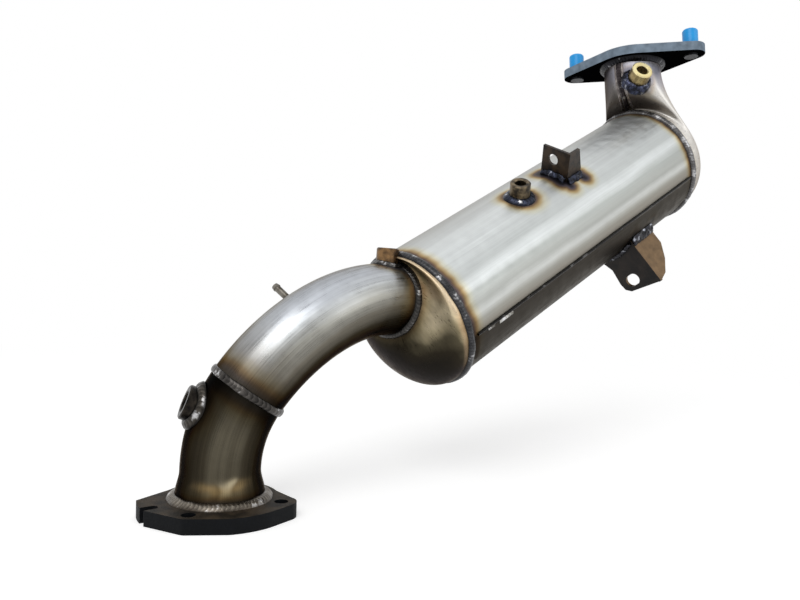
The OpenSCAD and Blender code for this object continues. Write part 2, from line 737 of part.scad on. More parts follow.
module stud_caps() {
    round_r = 3;
    top = outlet_flange_t + cap_h;
    color([0.04, 0.58, 0.94]) for (s = [-1, 1]) at_stud(s) difference() {
        rotate_extrude() polygon(concat([[0, outlet_flange_t], [cap_d / 2, outlet_flange_t]],
            arc([cap_d / 2 - round_r, top - round_r], round_r, 0, 90, 6), [[0, top]]));
        translate([0, 0, outlet_flange_t - eps]) cylinder(d = stud_d, h = stud_l + slip);
    }
}

inlet_flange();
inlet_flange_weld();
lower_pipe();
lambda_boss();
lambda_boss_weld();
pipe_joint_weld();
upper_pipe();
pressure_nipple();
pressure_nipple_weld();
pipe_sensor_boss();
pipe_sensor_boss_weld();
inlet_cone();
inlet_cone_pipe_weld();
inlet_cone_can_weld();
can_shell();
can_seam_weld();
can_sensor_boss();
can_sensor_boss_weld();
upper_bracket();
upper_bracket_weld();
lower_bracket();
lower_bracket_weld();
oxidation_brick();
oxidation_mat();
filter_brick();
filter_mat();
mat_rings();
outlet_cone_near_half();
outlet_cone_far_half();
outlet_cone_seam_weld();
outlet_cone_can_weld();
outlet_sensor_boss();
outlet_sensor_boss_weld();
outlet_flange_weld();
outlet_flange();
outlet_studs();
stud_caps();
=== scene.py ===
"""Diesel particulate filter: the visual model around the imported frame, in metres."""

from __future__ import annotations

import logging
import math
from dataclasses import dataclass, field
from enum import Enum
from typing import Callable, Sequence

import bpy
import numpy as np
from mathutils import Matrix

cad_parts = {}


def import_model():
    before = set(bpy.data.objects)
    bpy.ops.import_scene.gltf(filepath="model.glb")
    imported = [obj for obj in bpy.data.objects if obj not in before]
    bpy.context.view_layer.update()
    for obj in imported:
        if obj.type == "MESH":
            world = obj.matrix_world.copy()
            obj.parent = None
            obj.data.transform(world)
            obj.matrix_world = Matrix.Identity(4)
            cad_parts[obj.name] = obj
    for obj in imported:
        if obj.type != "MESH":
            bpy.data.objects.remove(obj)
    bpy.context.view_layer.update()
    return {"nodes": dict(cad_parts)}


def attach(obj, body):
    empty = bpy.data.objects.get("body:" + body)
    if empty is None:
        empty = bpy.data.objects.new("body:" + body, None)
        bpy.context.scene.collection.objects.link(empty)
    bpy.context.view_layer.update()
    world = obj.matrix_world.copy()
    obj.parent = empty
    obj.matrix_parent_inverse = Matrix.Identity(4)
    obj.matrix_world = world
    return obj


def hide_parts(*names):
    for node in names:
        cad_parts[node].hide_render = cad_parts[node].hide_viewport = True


LOG = logging.getLogger("scene")
MM = 0.001
Array = np.ndarray
Rgb = tuple[float, float, float]
Stops = Sequence[tuple[float, Array]]


class Slot(Enum):
    """Material slots of the record, passed with each visual piece."""

    PIPE = "pipe_steel"
    CONE = "cone_steel"
    CAN = "can_steel"
    WELD = "weld_bead"
    DARK_WELD = "weld_dark"


@dataclass(frozen=True)
class Size:
    """Driving sizes of the part, in millimetres and degrees.

    Attributes:
        flange_t: Thickness of the inlet flange.
        foot_r, pipe_r: Radii of the flared foot and of both pipes.
        lower_straight: Length of the lower pipe's straight foot.
        lower_r, lower_a, lower_dir: Bend radius, angle and heading of the lower pipe.
        upper_r, upper_a, upper_dir: Bend radius, angle and heading of the upper pipe.
        can_r, can_l, can_slope: Radius, length and slope of the can.
        entry: End of the upper pipe's centre line in the can's frame.
        lap_start, lap_width, lap_t: Start, width and thickness of the lap strip.
        neck_r, neck_h: Radius and height of the hood's neck.
        outlet_up, outlet_past, outlet_turn, outlet_lean: Place of the outlet flange beside the can's end.
        lambda_share, lambda_dir: Place of the lambda boss along and around the lower bend.
        nipple_share, nipple_dir: Place of the pressure nipple along and around the upper bend.
        pipe_boss_back, pipe_boss_dir: Place of the pipe's sensor boss before and around the upper bend's end.
        can_boss_at, can_boss_dir: Place of the can's sensor boss along and around the can.
        outlet_boss_dir, outlet_boss_drop: Place of the outlet's sensor boss around and below the flange.
        outlet_boss_yaw, outlet_boss_tilt: Its heading.
        lambda_boss_r, sensor_boss_r, nipple_r: Radii of the bosses and of the nipple.
    """

    flange_t: float = 12.0
    foot_r: float = 35.25
    pipe_r: float = 31.75
    lower_straight: float = 19.5
    lower_r: float = 114.5
    lower_a: float = 34.5
    lower_dir: float = -25.5
    upper_dir: float = 40.0
    upper_r: float = 143.0
    upper_a: float = 67.5
    can_r: float = 65.0
    can_l: float = 392.0
    can_slope: float = 26.0
    entry: tuple[float, float, float] = (28.3, -4.7, -17.9)
    lap_start: float = 104.0
    lap_width: float = 26.0
    lap_t: float = 1.2
    neck_r: float = 31.5
    neck_h: float = 8.0
    outlet_up: float = 112.0
    outlet_past: float = 23.0
    outlet_turn: float = 60.0
    outlet_lean: float = 8.0
    lambda_share: float = 0.632
    lambda_dir: float = 183.0
    nipple_share: float = 0.462
    nipple_dir: float = 106.0
    pipe_boss_back: float = 9.0
    pipe_boss_dir: float = 161.0
    can_boss_at: float = 146.0
    can_boss_dir: float = 24.0
    outlet_boss_dir: float = 42.0
    outlet_boss_drop: float = 26.0
    outlet_boss_yaw: float = 16.0
    outlet_boss_tilt: float = 67.0
    lambda_boss_r: float = 14.0
    sensor_boss_r: float = 10.0
    nipple_r: float = 3.0


S = Size()


def srgb(r: float, g: float, b: float) -> Array:
    """Turns an 8-bit display colour into a linear one by the standard display curve."""
    c = np.array([r, g, b], float) / 255.0
    return np.where(c <= 0.04045, c / 12.92, ((c + 0.055) / 1.055) ** 2.4)


def smooth(x: Array, low: float, high: float) -> Array:
    """Smooth step from 0 at low to 1 at high."""
    t = np.clip((x - low) / (high - low), 0.0, 1.0)
    return t * t * (3.0 - 2.0 * t)


def mix(a: Array, b: Array, t: Array) -> Array:
    """Blends colours a and b by t, one value per point."""
    return a + (b - a) * np.asarray(t)[..., None]


def ramp(value: Array, stops: Stops) -> Array:
    """Colours along a ramp, straight between its stops.

    Args:
        value: One value per point.
        stops: Rising positions with their linear colours.

    Returns:
        One colour per point.
    """
    at = np.array([t for t, _ in stops])
    shades = np.array([c for _, c in stops])
    return np.stack([np.interp(value, at, shades[:, k]) for k in range(3)], -1)


def unit(*v: float) -> Array:
    """A direction of length 1."""
    a = np.array(v, float)
    return a / np.linalg.norm(a)


def ripple_noise(p: Array, scale: float, seed: int, octaves: int = 4) -> Array:
    """Soft noise, about -1 to 1: sums of five sine waves, each octave half as long and half as strong.

    Args:
        p: Points in millimetres, last axis of any width.
        scale: Size of the largest blotch, in millimetres.
        seed: Picks the waves.
        octaves: Number of halvings.

    Returns:
        One value per point.
    """
    rng = np.random.default_rng(seed)
    total = np.zeros(p.shape[:-1])
    amount = 1.0
    for _ in range(octaves):
        waves = rng.normal(size=(5, p.shape[-1]))
        waves /= np.linalg.norm(waves, axis=1)[:, None]
        phase = rng.uniform(0, 2 * math.pi, 5)
        total += amount * np.sin(p @ waves.T * (2 * math.pi / scale) + phase).sum(-1) / 3.0
        amount *= 0.5
        scale *= 0.5
    return total / 2.0


def rot(axis: str, degrees: float) -> Array:
    """Rotation matrix about one axis."""
    return np.array(Matrix.Rotation(math.radians(degrees), 3, axis))


@dataclass(frozen=True)
class Place:
    """A frame in space: columns of turn are its axes, at is its origin in millimetres."""

    turn: Array
    at: Array

    def moved(self, x: float, y: float, z: float) -> "Place":
        """The frame moved along its own axes."""
        return Place(self.turn, self.at + self.turn @ np.array([x, y, z], float))

    def turned(self, axis: str, degrees: float) -> "Place":
        """The frame turned about one of its own axes."""
        return Place(self.turn @ rot(axis, degrees), self.at)

    def points(self, local: Array) -> Array:
        """Points of this frame in the root's frame."""
        return self.at + local @ self.turn.T

    def directions(self, local: Array) -> Array:
        """Directions of this frame in the root's frame."""
        return local @ self.turn.T


ROOT = Place(np.eye(3), np.zeros(3))


def bent(place: Place, radius: float, degrees: float) -> Place:
    """The frame after a bend that starts along Z and leans towards X."""
    a = math.radians(degrees)
    return place.moved(radius * (1 - math.cos(a)), 0, radius * math.sin(a)).turned("Y", degrees)


def lower_at(degrees: float) -> Place:
    """Frame along the lower bend."""
    foot = ROOT.turned("Z", S.lower_dir).moved(0, 0, S.flange_t + S.lower_straight)
    return bent(foot, S.lower_r, degrees)


def upper_at(degrees: float) -> Place:
    """Frame along the upper bend."""
    return bent(lower_at(S.lower_a).turned("Z", S.upper_dir), S.upper_r, degrees)


def can_place() -> Place:
    """Frame of the can: X up, Y towards the brackets, Z along the can from the inlet cap.

    Returns:
        The frame, set so that the upper pipe ends at the entry.
    """
    tilted = ROOT.turned("Y", 90 - S.can_slope).turned("Z", 180)
    start = upper_at(S.upper_a).at - tilted.turn @ np.array(S.entry)
    return Place(tilted.turn, start)


def radial(place: Place, degrees: float, radius: float) -> Place:
    """Frame on a round wall, Z pointing out of it."""
    return place.turned("Z", degrees).moved(radius, 0, 0).turned("Y", 90)


def z_axis(place: Place, sign: float = 1.0) -> tuple[float, ...]:
    """A frame's Z direction as plain numbers, turned round where sign is -1."""
    return tuple(float(sign * v) for v in place.turn[:, 2])


CAN = can_place()
ENTRY = upper_at(S.upper_a)
OUTLET = CAN.moved(S.outlet_up, 0, S.can_l + S.outlet_past).turned("Y", S.outlet_turn)
OUTLET = OUTLET.turned("X", S.outlet_lean)
LAMBDA = radial(lower_at(S.lambda_share * S.lower_a), S.lambda_dir, S.pipe_r)
NIPPLE = radial(upper_at(S.nipple_share * S.upper_a), S.nipple_dir, S.pipe_r)
PIPE_BOSS = upper_at(S.upper_a - math.degrees(S.pipe_boss_back / S.upper_r))
PIPE_BOSS = radial(PIPE_BOSS, S.pipe_boss_dir, S.pipe_r)
CAN_BOSS = radial(CAN.moved(0, 0, S.can_boss_at), S.can_boss_dir, S.can_r)
OUTLET_BOSS = OUTLET.turned("Z", S.outlet_boss_dir).moved(S.neck_r, 0, -S.outlet_boss_drop)
OUTLET_BOSS = OUTLET_BOSS.turned("Z", S.outlet_boss_yaw).turned("Y", S.outlet_boss_tilt)


@dataclass(frozen=True)
class Finish:
    """How a metal surface takes the light.

    Attributes:
        name: Material name.
        metallic, rough, rough_var: Surface values and how far the roughness wanders.
        streak: Strength of the draw lines.
        streak_fine, streak_long: Waves per millimetre of the fine draw lines, across and along.
        bump: Strength of the relief.
        speck: Strength of the dark specks.
        edge: Tint of the light that grazes the surface.
        broad_fine, broad_long: Waves per millimetre of the broad draw lines, across and along.
        blotch_fine, speck_fine: Waves per millimetre of the blotches and of the specks.
    """

    name: str
    metallic: float
    rough: float
    rough_var: float
    streak: float
    streak_fine: float
    streak_long: float
    bump: float
    speck: float
    edge: tuple[float, float, float] = (1.0, 1.0, 1.0)
    broad_fine: float = 0.16
    broad_long: float = 0.006
    blotch_fine: float = 0.09
    speck_fine: float = 0.55


class Nodes:
    """Small builder of shader nodes."""

    relief: float = 0.0004

    def __init__(self, name: str) -> None:
        """Starts an empty material.

        Args:
            name: Material name.
        """
        self.material = bpy.data.materials.new(name)
        self.material.use_nodes = True
        self.tree = self.material.node_tree
        self.tree.nodes.clear()

    def _fill(self, value: object, socket: bpy.types.NodeSocket) -> None:
        """Links an input socket, or sets its constant.

        Args:
            value: Another node's output or a constant.
            socket: The input.
        """
        if isinstance(value, bpy.types.NodeSocket):
            self.tree.links.new(value, socket)
        else:
            socket.default_value = value

    def add(self, kind: str, **sockets: object) -> bpy.types.Node:
        """Adds a node and fills its inputs.

        Args:
            kind: Blender's name of the node type.
            sockets: Values or links by input name, with _ for a space, or by number as i0, i1 and so on.

        Returns:
            The node.
        """
        node = self.tree.nodes.new(kind)
        for key, value in sockets.items():
            numbered = key[0] == "i" and key[1:].isdigit()
            self._fill(value, node.inputs[int(key[1:]) if numbered else key.replace("_", " ")])
        return node

    def attribute(self, name: str, output: str) -> bpy.types.NodeSocket:
        """A mesh attribute.

        Args:
            name: Attribute name.
            output: The node's output to use.

        Returns:
            The output.
        """
        node = self.add("ShaderNodeAttribute")
        node.attribute_name = name
        return node.outputs[output]

    def math(self, operation: str, a: object, b: object) -> bpy.types.NodeSocket:
        """Two values put together.

        Args:
            operation: Blender's name of the operation.
            a, b: Values or links.

        Returns:
            The result.
        """
        node = self.add("ShaderNodeMath", i0=a, i1=b)
        node.operation = operation
        return node.outputs[0]

    def ramp(self, value: bpy.types.NodeSocket, low: float, high: float,
             to_low: float = 0.0, to_high: float = 1.0) -> bpy.types.NodeSocket:
        """A clamped map of one range onto another."""
        return self.add("ShaderNodeMapRange", Value=value, From_Min=low, From_Max=high,
                        To_Min=to_low, To_Max=to_high).outputs[0]

    def noise(self, vector: bpy.types.NodeSocket, scale: float, detail: float) -> bpy.types.NodeSocket:
        """Noise value at a vector."""
        return self.add("ShaderNodeTexNoise", Vector=vector, Scale=scale, Detail=detail).outputs[0]

    def streaks(self, grain: bpy.types.NodeSocket, across: float, along: float,
                detail: float) -> bpy.types.NodeSocket:
        """Noise drawn out along the grain.

        Args:
            grain: Millimetres across and along the grain.
            across, along: Waves per millimetre.
            detail: Depth of the noise.

        Returns:
            The noise value.
        """
        node = self.add("ShaderNodeVectorMath", i0=grain, i1=(across, along, 1.0))
        node.operation = "MULTIPLY"
        return self.noise(node.outputs[0], 1.0, detail)

    def _mixed(self, kind: str, factor: object, a: object, b: object) -> bpy.types.NodeSocket:
        """Two colours put together.

        Args:
            kind: Blender's name of the way of mixing.
            factor: How far the second colour counts.
            a, b: Display colours, 0 to 255, or links.

        Returns:
            The colour.
        """
        node = self.add("ShaderNodeMix")
        node.data_type = "RGBA"
        node.blend_type = kind
        self._fill(factor, node.inputs[0])
        for value, socket in ((a, node.inputs[6]), (b, node.inputs[7])):
            linked = isinstance(value, bpy.types.NodeSocket)
            self._fill(value if linked else (*srgb(*value), 1), socket)
        return node.outputs[2]

    def blend(self, factor: bpy.types.NodeSocket, a: object, b: object) -> bpy.types.NodeSocket:
        """A mix of two colours."""
        return self._mixed("MIX", factor, a, b)

    def gained(self, colour: object, gain: bpy.types.NodeSocket) -> bpy.types.NodeSocket:
        """A colour made lighter or darker by a value."""
        grey = self.add("ShaderNodeCombineColor", i0=gain, i1=gain, i2=gain)
        return self._mixed("MULTIPLY", 1.0, colour, grey.outputs[0])

    def bumped(self, height: bpy.types.NodeSocket, strength: float) -> bpy.types.NodeSocket:
        """A normal with fine relief."""
        return self.add("ShaderNodeBump", Strength=strength, Distance=self.relief, Height=height).outputs[0]

    def done(self, shader: bpy.types.NodeSocket) -> bpy.types.Material:
        """Links the surface and returns the material."""
        self.add("ShaderNodeOutputMaterial", Surface=shader)
        return self.material


def tinted_metal(f: Finish) -> bpy.types.Material:
    """Metal whose colour, painted light and shade included, comes from the piece's own tint, with draw lines,
    specks and fine scratches.

    Args:
        f: The finish.

    Returns:
        The material.
    """
    n = Nodes(f.name)
    grain = n.attribute("grain", "Vector")
    fine = n.streaks(grain, f.streak_fine, f.streak_long, 4.0)
    broad = n.streaks(grain, f.broad_fine, f.broad_long, 2.0)
    blotch = n.streaks(grain, f.blotch_fine, f.blotch_fine, 5.0)
    line = n.math("ADD", n.ramp(fine, 0.25, 0.75, -f.streak, f.streak),
                  n.math("ADD", n.ramp(broad, 0.3, 0.7, -0.6 * f.streak, 0.6 * f.streak),
                         n.ramp(blotch, 0.3, 0.7, -0.35 * f.streak, 0.35 * f.streak)))
    specks = n.ramp(n.streaks(grain, f.speck_fine, f.speck_fine, 2.0), 0.70, 0.78, 0.0, f.speck)
    gain = n.math("SUBTRACT", n.math("ADD", line, 1.0), specks)
    rough = n.math("ADD", n.ramp(fine, 0.3, 0.7, f.rough - f.rough_var, f.rough + f.rough_var),
                   n.ramp(blotch, 0.35, 0.7, -0.05, 0.08))
    bsdf = n.add("ShaderNodeBsdfPrincipled", Base_Color=n.gained(n.attribute("tint", "Color"), gain),
                 Metallic=f.metallic, Specular_Tint=(*f.edge, 1), Roughness=rough,
                 Normal=n.bumped(n.math("ADD", fine, specks), f.bump))
    return n.done(bsdf.outputs[0])


@dataclass(frozen=True)
class Plain:
    """Finish of a node that keeps its CAD mesh.

    Attributes:
        name: Material name.
        colour, other: The two patch colours, 0 to 255.
        metallic, rough: Surface values.
        patch: Patches per metre.
        bump: Strength of the fine grain.
        spark: How strong the painted glint flecks are.
        axis: Direction that tells top, side and underside apart for painted light and shade, or None.
            side, under: Colours of the side faces and the underside where axis is given, painted as light and
                shade by which way a face points.
        gloss: Level of the plain reflection, 0.5 for most.
        fine, fleck: Waves per metre of the fine grain and of the painted glint flecks.
        glint_colour: Colour of the painted glint flecks.
    """

    name: str
    colour: Rgb
    other: Rgb
    metallic: float
    rough: float
    patch: float = 60.0
    bump: float = 0.1
    spark: float = 0.0
    axis: tuple[float, ...] | None = None
    side: Rgb = (0, 0, 0)
    shaded_under: Rgb = (0, 0, 0)
    gloss: float = 0.5
    fine: float = 900.0
    glint_fleck: float = 150.0
    glint_colour: Rgb = (214, 218, 230)


def patchy(f: Plain) -> bpy.types.Material:
    """A finish of two colours in soft patches with a fine grain, painted glint flecks, and side and underside
    colours painted as light and shade by facing.

    Args:
        f: Colours and values.

    Returns:
        The material.
    """
    n = Nodes(f.name)
    coords = n.add("ShaderNodeTexCoord")
    at = coords.outputs["Object"]
    fine = n.noise(at, f.fine, 3.0)
    patch = n.ramp(n.noise(at, f.patch, 5.0), 0.38, 0.62)
    colour = n.blend(patch, f.colour, f.other)
    # Painted light and shade by facing: side faces and underside take their own lit and shaded colours.
    if f.axis is not None:
        dot = n.add("ShaderNodeVectorMath", i0=coords.outputs["Normal"], i1=f.axis)
        dot.operation = "DOT_PRODUCT"
        shade = n.ramp(n.noise(at, 2.0 * f.patch, 4.0), 0.3, 0.7, 0.75, 1.25)
        side = n.gained(f.side, shade)
        colour = n.blend(n.ramp(dot.outputs["Value"], 0.55, 0.8), side, colour)
        colour = n.blend(n.ramp(dot.outputs["Value"], -0.55, -0.8), colour, f.shaded_under)
    # Painted glints: bright flecks.
    if f.spark > 0:
        glint_fleck = n.ramp(n.noise(at, f.glint_fleck, 3.0), 0.58, 0.70, 0.0, f.spark)
        colour = n.blend(glint_fleck, colour, f.glint_colour)
    rough = n.ramp(fine, 0.3, 0.7, f.rough - 0.07, f.rough + 0.09)
    bsdf = n.add("ShaderNodeBsdfPrincipled", Base_Color=colour, Metallic=f.metallic, Roughness=rough,
                 Specular_IOR_Level=f.gloss, Normal=n.bumped(fine, f.bump))
    return n.done(bsdf.outputs[0])


def short_weld(name: str, dark: Rgb, blue: Rgb, spark: float) -> Plain:
    """Finish of a short, lumpy weld, with painted glint flecks."""
    return Plain(name, dark, blue, metallic=0.85, rough=0.24, patch=260.0, bump=0.3, spark=spark)


PIPE_FINISH = Finish("pipe_drawn", metallic=0.95, rough=0.33, rough_var=0.1, streak=0.2, streak_fine=1.1,
                     streak_long=0.012, bump=0.1, speck=0.25, edge=(0.4, 0.36, 0.31))
CAN_FINISH = Finish("can_satin", metallic=0.88, rough=0.43, rough_var=0.1, streak=0.085, streak_fine=1.3,
                    streak_long=0.006, bump=0.08, speck=0.10, edge=(0.8, 0.78, 0.74))
CONE_FINISH = Finish("cone_pressed", metallic=0.6, rough=0.36, rough_var=0.1, streak=0.12, streak_fine=0.5,
                     streak_long=0.3, bump=0.08, speck=0.3, edge=(0.5, 0.42, 0.34))
WELD_FINISH = Finish("weld_ripple", metallic=0.85, rough=0.3, rough_var=0.1, streak=0.3, streak_fine=0.9,
                     streak_long=0.9, bump=0.25, speck=0.1)

PLAIN = {
    # Inlet flange: the darker blue-black side faces and underside are painted shade beside the rust-brown
    # top.
    "inlet_flange": Plain("flange_black", (26, 22, 17), (58, 49, 38), 0.0, 0.6, 70.0, 0.2,
                          axis=z_axis(ROOT), side=(8, 10, 13), shaded_under=(14, 14, 15), gloss=0.12),
    "lambda_boss": Plain("boss_dark", (50, 45, 39), (20, 18, 17), 0.95, 0.34, 160.0),
    "pipe_sensor_boss": Plain("boss_bronze", (134, 104, 70), (62, 48, 36), 0.85, 0.32, 130.0),
    "can_sensor_boss": Plain("boss_grey", (120, 106, 84), (48, 42, 36), 0.85, 0.32, 130.0),
    # Outlet sensor boss: the darker side and dark underside are painted shade.
    "outlet_sensor_boss": Plain("boss_gold", (250, 238, 186), (240, 222, 160), 0.85, 0.28, 90.0,
                                axis=z_axis(OUTLET_BOSS), side=(150, 132, 92), shaded_under=(40, 36, 30)),
    "pressure_nipple": Plain("nipple_steel", (128, 124, 116), (66, 60, 52), 0.85, 0.34, 90.0),
    "upper_bracket": Plain("bracket_brown", (62, 49, 38), (28, 23, 21), 0.6, 0.38, 110.0, 0.2),
    # Lower bracket: faces that point along the can are painted black shade, the other faces painted lit
    # bronze.
    "lower_bracket": Plain("bracket_black", (18, 16, 15), (36, 30, 26), 0.6, 0.38, 70.0, 0.2,
                           axis=z_axis(CAN, -1.0), side=(108, 86, 60), shaded_under=(30, 26, 23)),
    # Outlet flange: the blue-grey side faces are painted light, the black underside painted shade.
    "outlet_flange": Plain("outlet_plate", (126, 136, 146), (92, 100, 110), 0.0, 0.5, 60.0, 0.15,
                           axis=z_axis(OUTLET), side=(122, 136, 150), shaded_under=(5, 5, 6), gloss=0.0),
    "outlet_studs": Plain("stud_steel", (56, 58, 62), (30, 30, 32), 0.8, 0.4, 90.0),
    "stud_caps": Plain("cap_blue", (0, 150, 226), (4, 162, 236), 0.0, 0.34, 30.0, 0.03),
    "oxidation_brick": Plain("brick_oxidation", (196, 180, 146), (178, 160, 124), 0.0, 0.8),
    "filter_brick": Plain("brick_filter", (86, 84, 82), (66, 66, 66), 0.0, 0.8),
    "oxidation_mat": Plain("mat_pale", (226, 220, 205), (210, 204, 190), 0.0, 0.9),
    "filter_mat": Plain("mat_pale_filter", (226, 220, 205), (210, 204, 190), 0.0, 0.9),
    "mat_rings": Plain("ring_wire", (140, 140, 140), (90, 90, 90), 0.8, 0.5),
    "upper_bracket_weld": short_weld("weld_upper_bracket", (13, 14, 19), (44, 48, 62), 0.55),
    "lower_bracket_weld": short_weld("weld_lower_bracket", (16, 16, 19), (52, 52, 58), 0.55),
    "outlet_sensor_boss_weld": short_weld("weld_outlet_boss", (20, 21, 28), (62, 66, 86), 0.4),
}
BEVELLED = {"inlet_flange": 0.9, "outlet_flange": 0.9, "lambda_boss": 0.7, "pipe_sensor_boss": 0.6,
            "can_sensor_boss": 0.6, "outlet_sensor_boss": 0.6, "stud_caps": 1.2}
LUMPY = ("upper_bracket_weld", "lower_bracket_weld", "outlet_sensor_boss_weld")


@dataclass
class KeptNodes:
    """The CAD nodes that stay visible, with their finishes, rounded edges and lumpy welds.

    Attributes:
        nodes: The frame's nodes by name.
        edge_angle: Degrees from which an edge is rounded.
        lump: Size of the short welds' lumps, in metres.
        voxel: Mesh size of the short welds, in metres.
        melt: Rounds of smoothing of the short welds.
        swell, swell_mid: Height of the lumps, in metres, and the share of it that lies inside.
    """

    nodes: dict[str, bpy.types.Object]
    edge_angle: float = 40.0
    lump: float = 0.006
    voxel: float = 0.0008
    melt: int = 8
    swell: float = 0.0022
    swell_mid: float = 0.42

    def paint(self) -> None:
        """Gives each node its finish."""
        for name, finish in PLAIN.items():
            mesh = self.nodes[name].data
            mesh.materials.clear()
            mesh.materials.append(patchy(finish))

    def round_edges(self) -> None:
        """Rounds the edges of turned and cut nodes by a narrow bevel."""
        for name, width in BEVELLED.items():
            bevel = self.nodes[name].modifiers.new("edge", "BEVEL")
            bevel.width = width * MM
            bevel.segments = 2
            bevel.limit_method = "ANGLE"
            bevel.angle_limit = math.radians(self.edge_angle)
            bevel.harden_normals = True

    def make_lumpy(self) -> None:
        """Gives the short welds a smooth skin that swells by a cloudy noise."""
        lumps = bpy.data.textures.new("weld_lumps", "CLOUDS")
        lumps.noise_scale = self.lump
        for name in LUMPY:
            remesh = self.nodes[name].modifiers.new("skin", "REMESH")
            remesh.mode = "VOXEL"
            remesh.voxel_size = self.voxel
            remesh.use_smooth_shade = True
            melt = self.nodes[name].modifiers.new("melt", "SMOOTH")
            melt.iterations = self.melt
            swell = self.nodes[name].modifiers.new("swell", "DISPLACE")
            swell.texture = lumps
            swell.strength = self.swell
            swell.mid_level = self.swell_mid


@dataclass
class Surface:
    """A grid of points with its tint and grain, ready to become one piece.

    Attributes:
        name: Piece name.
        points: Grid of points, in millimetres.
        tint: Colour per point, with any painted light and shade.
        grain: Millimetres across and along the grain per point.
        wrap: True where the last column joins the first.
        facing: Direction out of the surface per point, or None for a wall around its own rings.
    """

    name: str
    points: Array
    tint: Array
    grain: Array
    wrap: bool = True
    facing: Array | None = None

    def _turned_in(self) -> bool:
        """Tells which way the grid's own order makes its faces point.

        Returns:
            True where they would point inwards.
        """
        away = self.points - self.points.mean(1, keepdims=True) if self.facing is None else self.facing
        normal = np.cross(np.gradient(self.points, axis=1), np.gradient(self.points, axis=0))
        return float((normal * away).sum()) < 0

    def _quads(self) -> Array:
        """Four corners per face: a point, its neighbour in the row and the same two in the next row.

        Returns:
            Corner numbers, one row per face, in the order that points outwards.
        """
        rows, cols = self.points.shape[:2]
        r, c = np.meshgrid(np.arange(rows - 1), np.arange(cols if self.wrap else cols - 1), indexing="ij")
        nxt = (c + 1) % cols
        corners = [r * cols + c, r * cols + nxt, (r + 1) * cols + nxt, (r + 1) * cols + c]
        quads = np.stack(corners, -1).reshape(-1, 4)
        return quads[:, ::-1] if self._turned_in() else quads

    def build(self, material: bpy.types.Material, slot: Slot, replaces: Sequence[str]) -> bpy.types.Object:
        """Makes the mesh piece.

        Args:
            material: Its finish.
            slot: Record slot it stands for; not used.
            replaces: CAD nodes that it stands for.

        Returns:
            The object, riding on the root.
        """
        quads = self._quads()
        mesh = bpy.data.meshes.new(self.name)
        mesh.vertices.add(self.points.size // 3)
        mesh.vertices.foreach_set("co", (self.points * MM).astype(np.float32).ravel())
        mesh.loops.add(quads.size)
        mesh.loops.foreach_set("vertex_index", quads.astype(np.int32).ravel())
        mesh.polygons.add(len(quads))
        mesh.polygons.foreach_set("loop_start", np.arange(0, quads.size, 4, dtype=np.int32))
        mesh.polygons.foreach_set("use_smooth", np.ones(len(quads), bool))
        mesh.update(calc_edges=True)
        rgba = np.concatenate([np.clip(self.tint, 0, 1), np.ones(self.tint.shape[:2] + (1,))], -1)
        layer = mesh.attributes.new("tint", "FLOAT_COLOR", "POINT")
        layer.data.foreach_set("color", rgba.astype(np.float32).ravel())
        grain = mesh.attributes.new("grain", "FLOAT_VECTOR", "POINT")
        grain.data.foreach_set("vector", self.grain.astype(np.float32).ravel())
        obj = bpy.data.objects.new(self.name, mesh)
        bpy.context.collection.objects.link(obj)
        mesh.materials.append(material)
        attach(obj, "root")
        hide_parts(*replaces)
        return obj


def grain_grid(across: Array, along: Array, shape: tuple[int, int]) -> Array:
    """Millimetres across and along the grain for each point of a grid."""
    return np.stack([np.broadcast_to(across, shape), np.broadcast_to(along, shape), np.zeros(shape)], -1)


@dataclass
class HeatMap:
    """Welds as points in space, from which the heat tint of the sheet fades.

    Attributes:
        points: Points of the welds.
        spread: How far each point's heat reaches, where 1 is an ordinary seam.
        batch: Points that are measured at a time.
    """

    points: list[Array] = field(default_factory=list)
    spread: list[Array] = field(default_factory=list)
    batch: int = 4000

    def add(self, line: Array, spread: float) -> None:
        """Adds a weld line with its spread."""
        self.points.append(line.reshape(-1, 3))
        self.spread.append(np.full(len(self.points[-1]), spread))

    def distance(self, p: Array) -> Array:
        """Distance from each point to the nearest weld, divided by that weld's spread.

        Args:
            p: Points, in millimetres.

        Returns:
            One value per point.
        """
        welds = np.concatenate(self.points)
        spread = np.concatenate(self.spread)
        flat = p.reshape(-1, 3)
        best = np.empty(len(flat))
        for start in range(0, len(flat), self.batch):
            part = slice(start, start + self.batch)
            best[part] = (np.linalg.norm(flat[part, None] - welds[None], axis=-1) / spread).min(1)
        return best.reshape(p.shape[:-1])


TEMPER: Stops = (
    (0.0, srgb(34, 31, 32)), (3.0, srgb(52, 46, 48)), (5.5, srgb(84, 72, 72)), (8.5, srgb(116, 88, 60)),
    (12.0, srgb(176, 144, 96)), (17.0, srgb(206, 190, 154)),
)
UNTEMPERED = srgb(214, 206, 190)
TEMPER_NEAR = 12.0
TEMPER_FAR = 26.0


def temper(base: Array, d: Array, strength: float = 1.0) -> Array:
    """Multiplies a base colour by dark, brown and straw heat colours that fade with the distance.

    Args:
        base: Colour per point.
        d: Distance from the weld per point, in millimetres.
        strength: 1 for the full tint.

    Returns:
        The tinted colours.
    """
    relative = ramp(d, TEMPER) / UNTEMPERED
    amount = strength * (1.0 - smooth(d, TEMPER_NEAR, TEMPER_FAR))
    return base * (1.0 - amount[..., None] + amount[..., None] * np.clip(relative * 1.1, 0, 1.0))


def around(n: int) -> Array:
    """Angles around a full turn, in radians."""
    return np.arange(n) * (2 * math.pi / n)


def circle(a: Array, radius: float = 1.0, z: float = 0.0) -> Array:
    """Points of a circle about Z at given angles."""
    return np.stack([radius * np.cos(a), radius * np.sin(a), np.full_like(a, z)], -1)


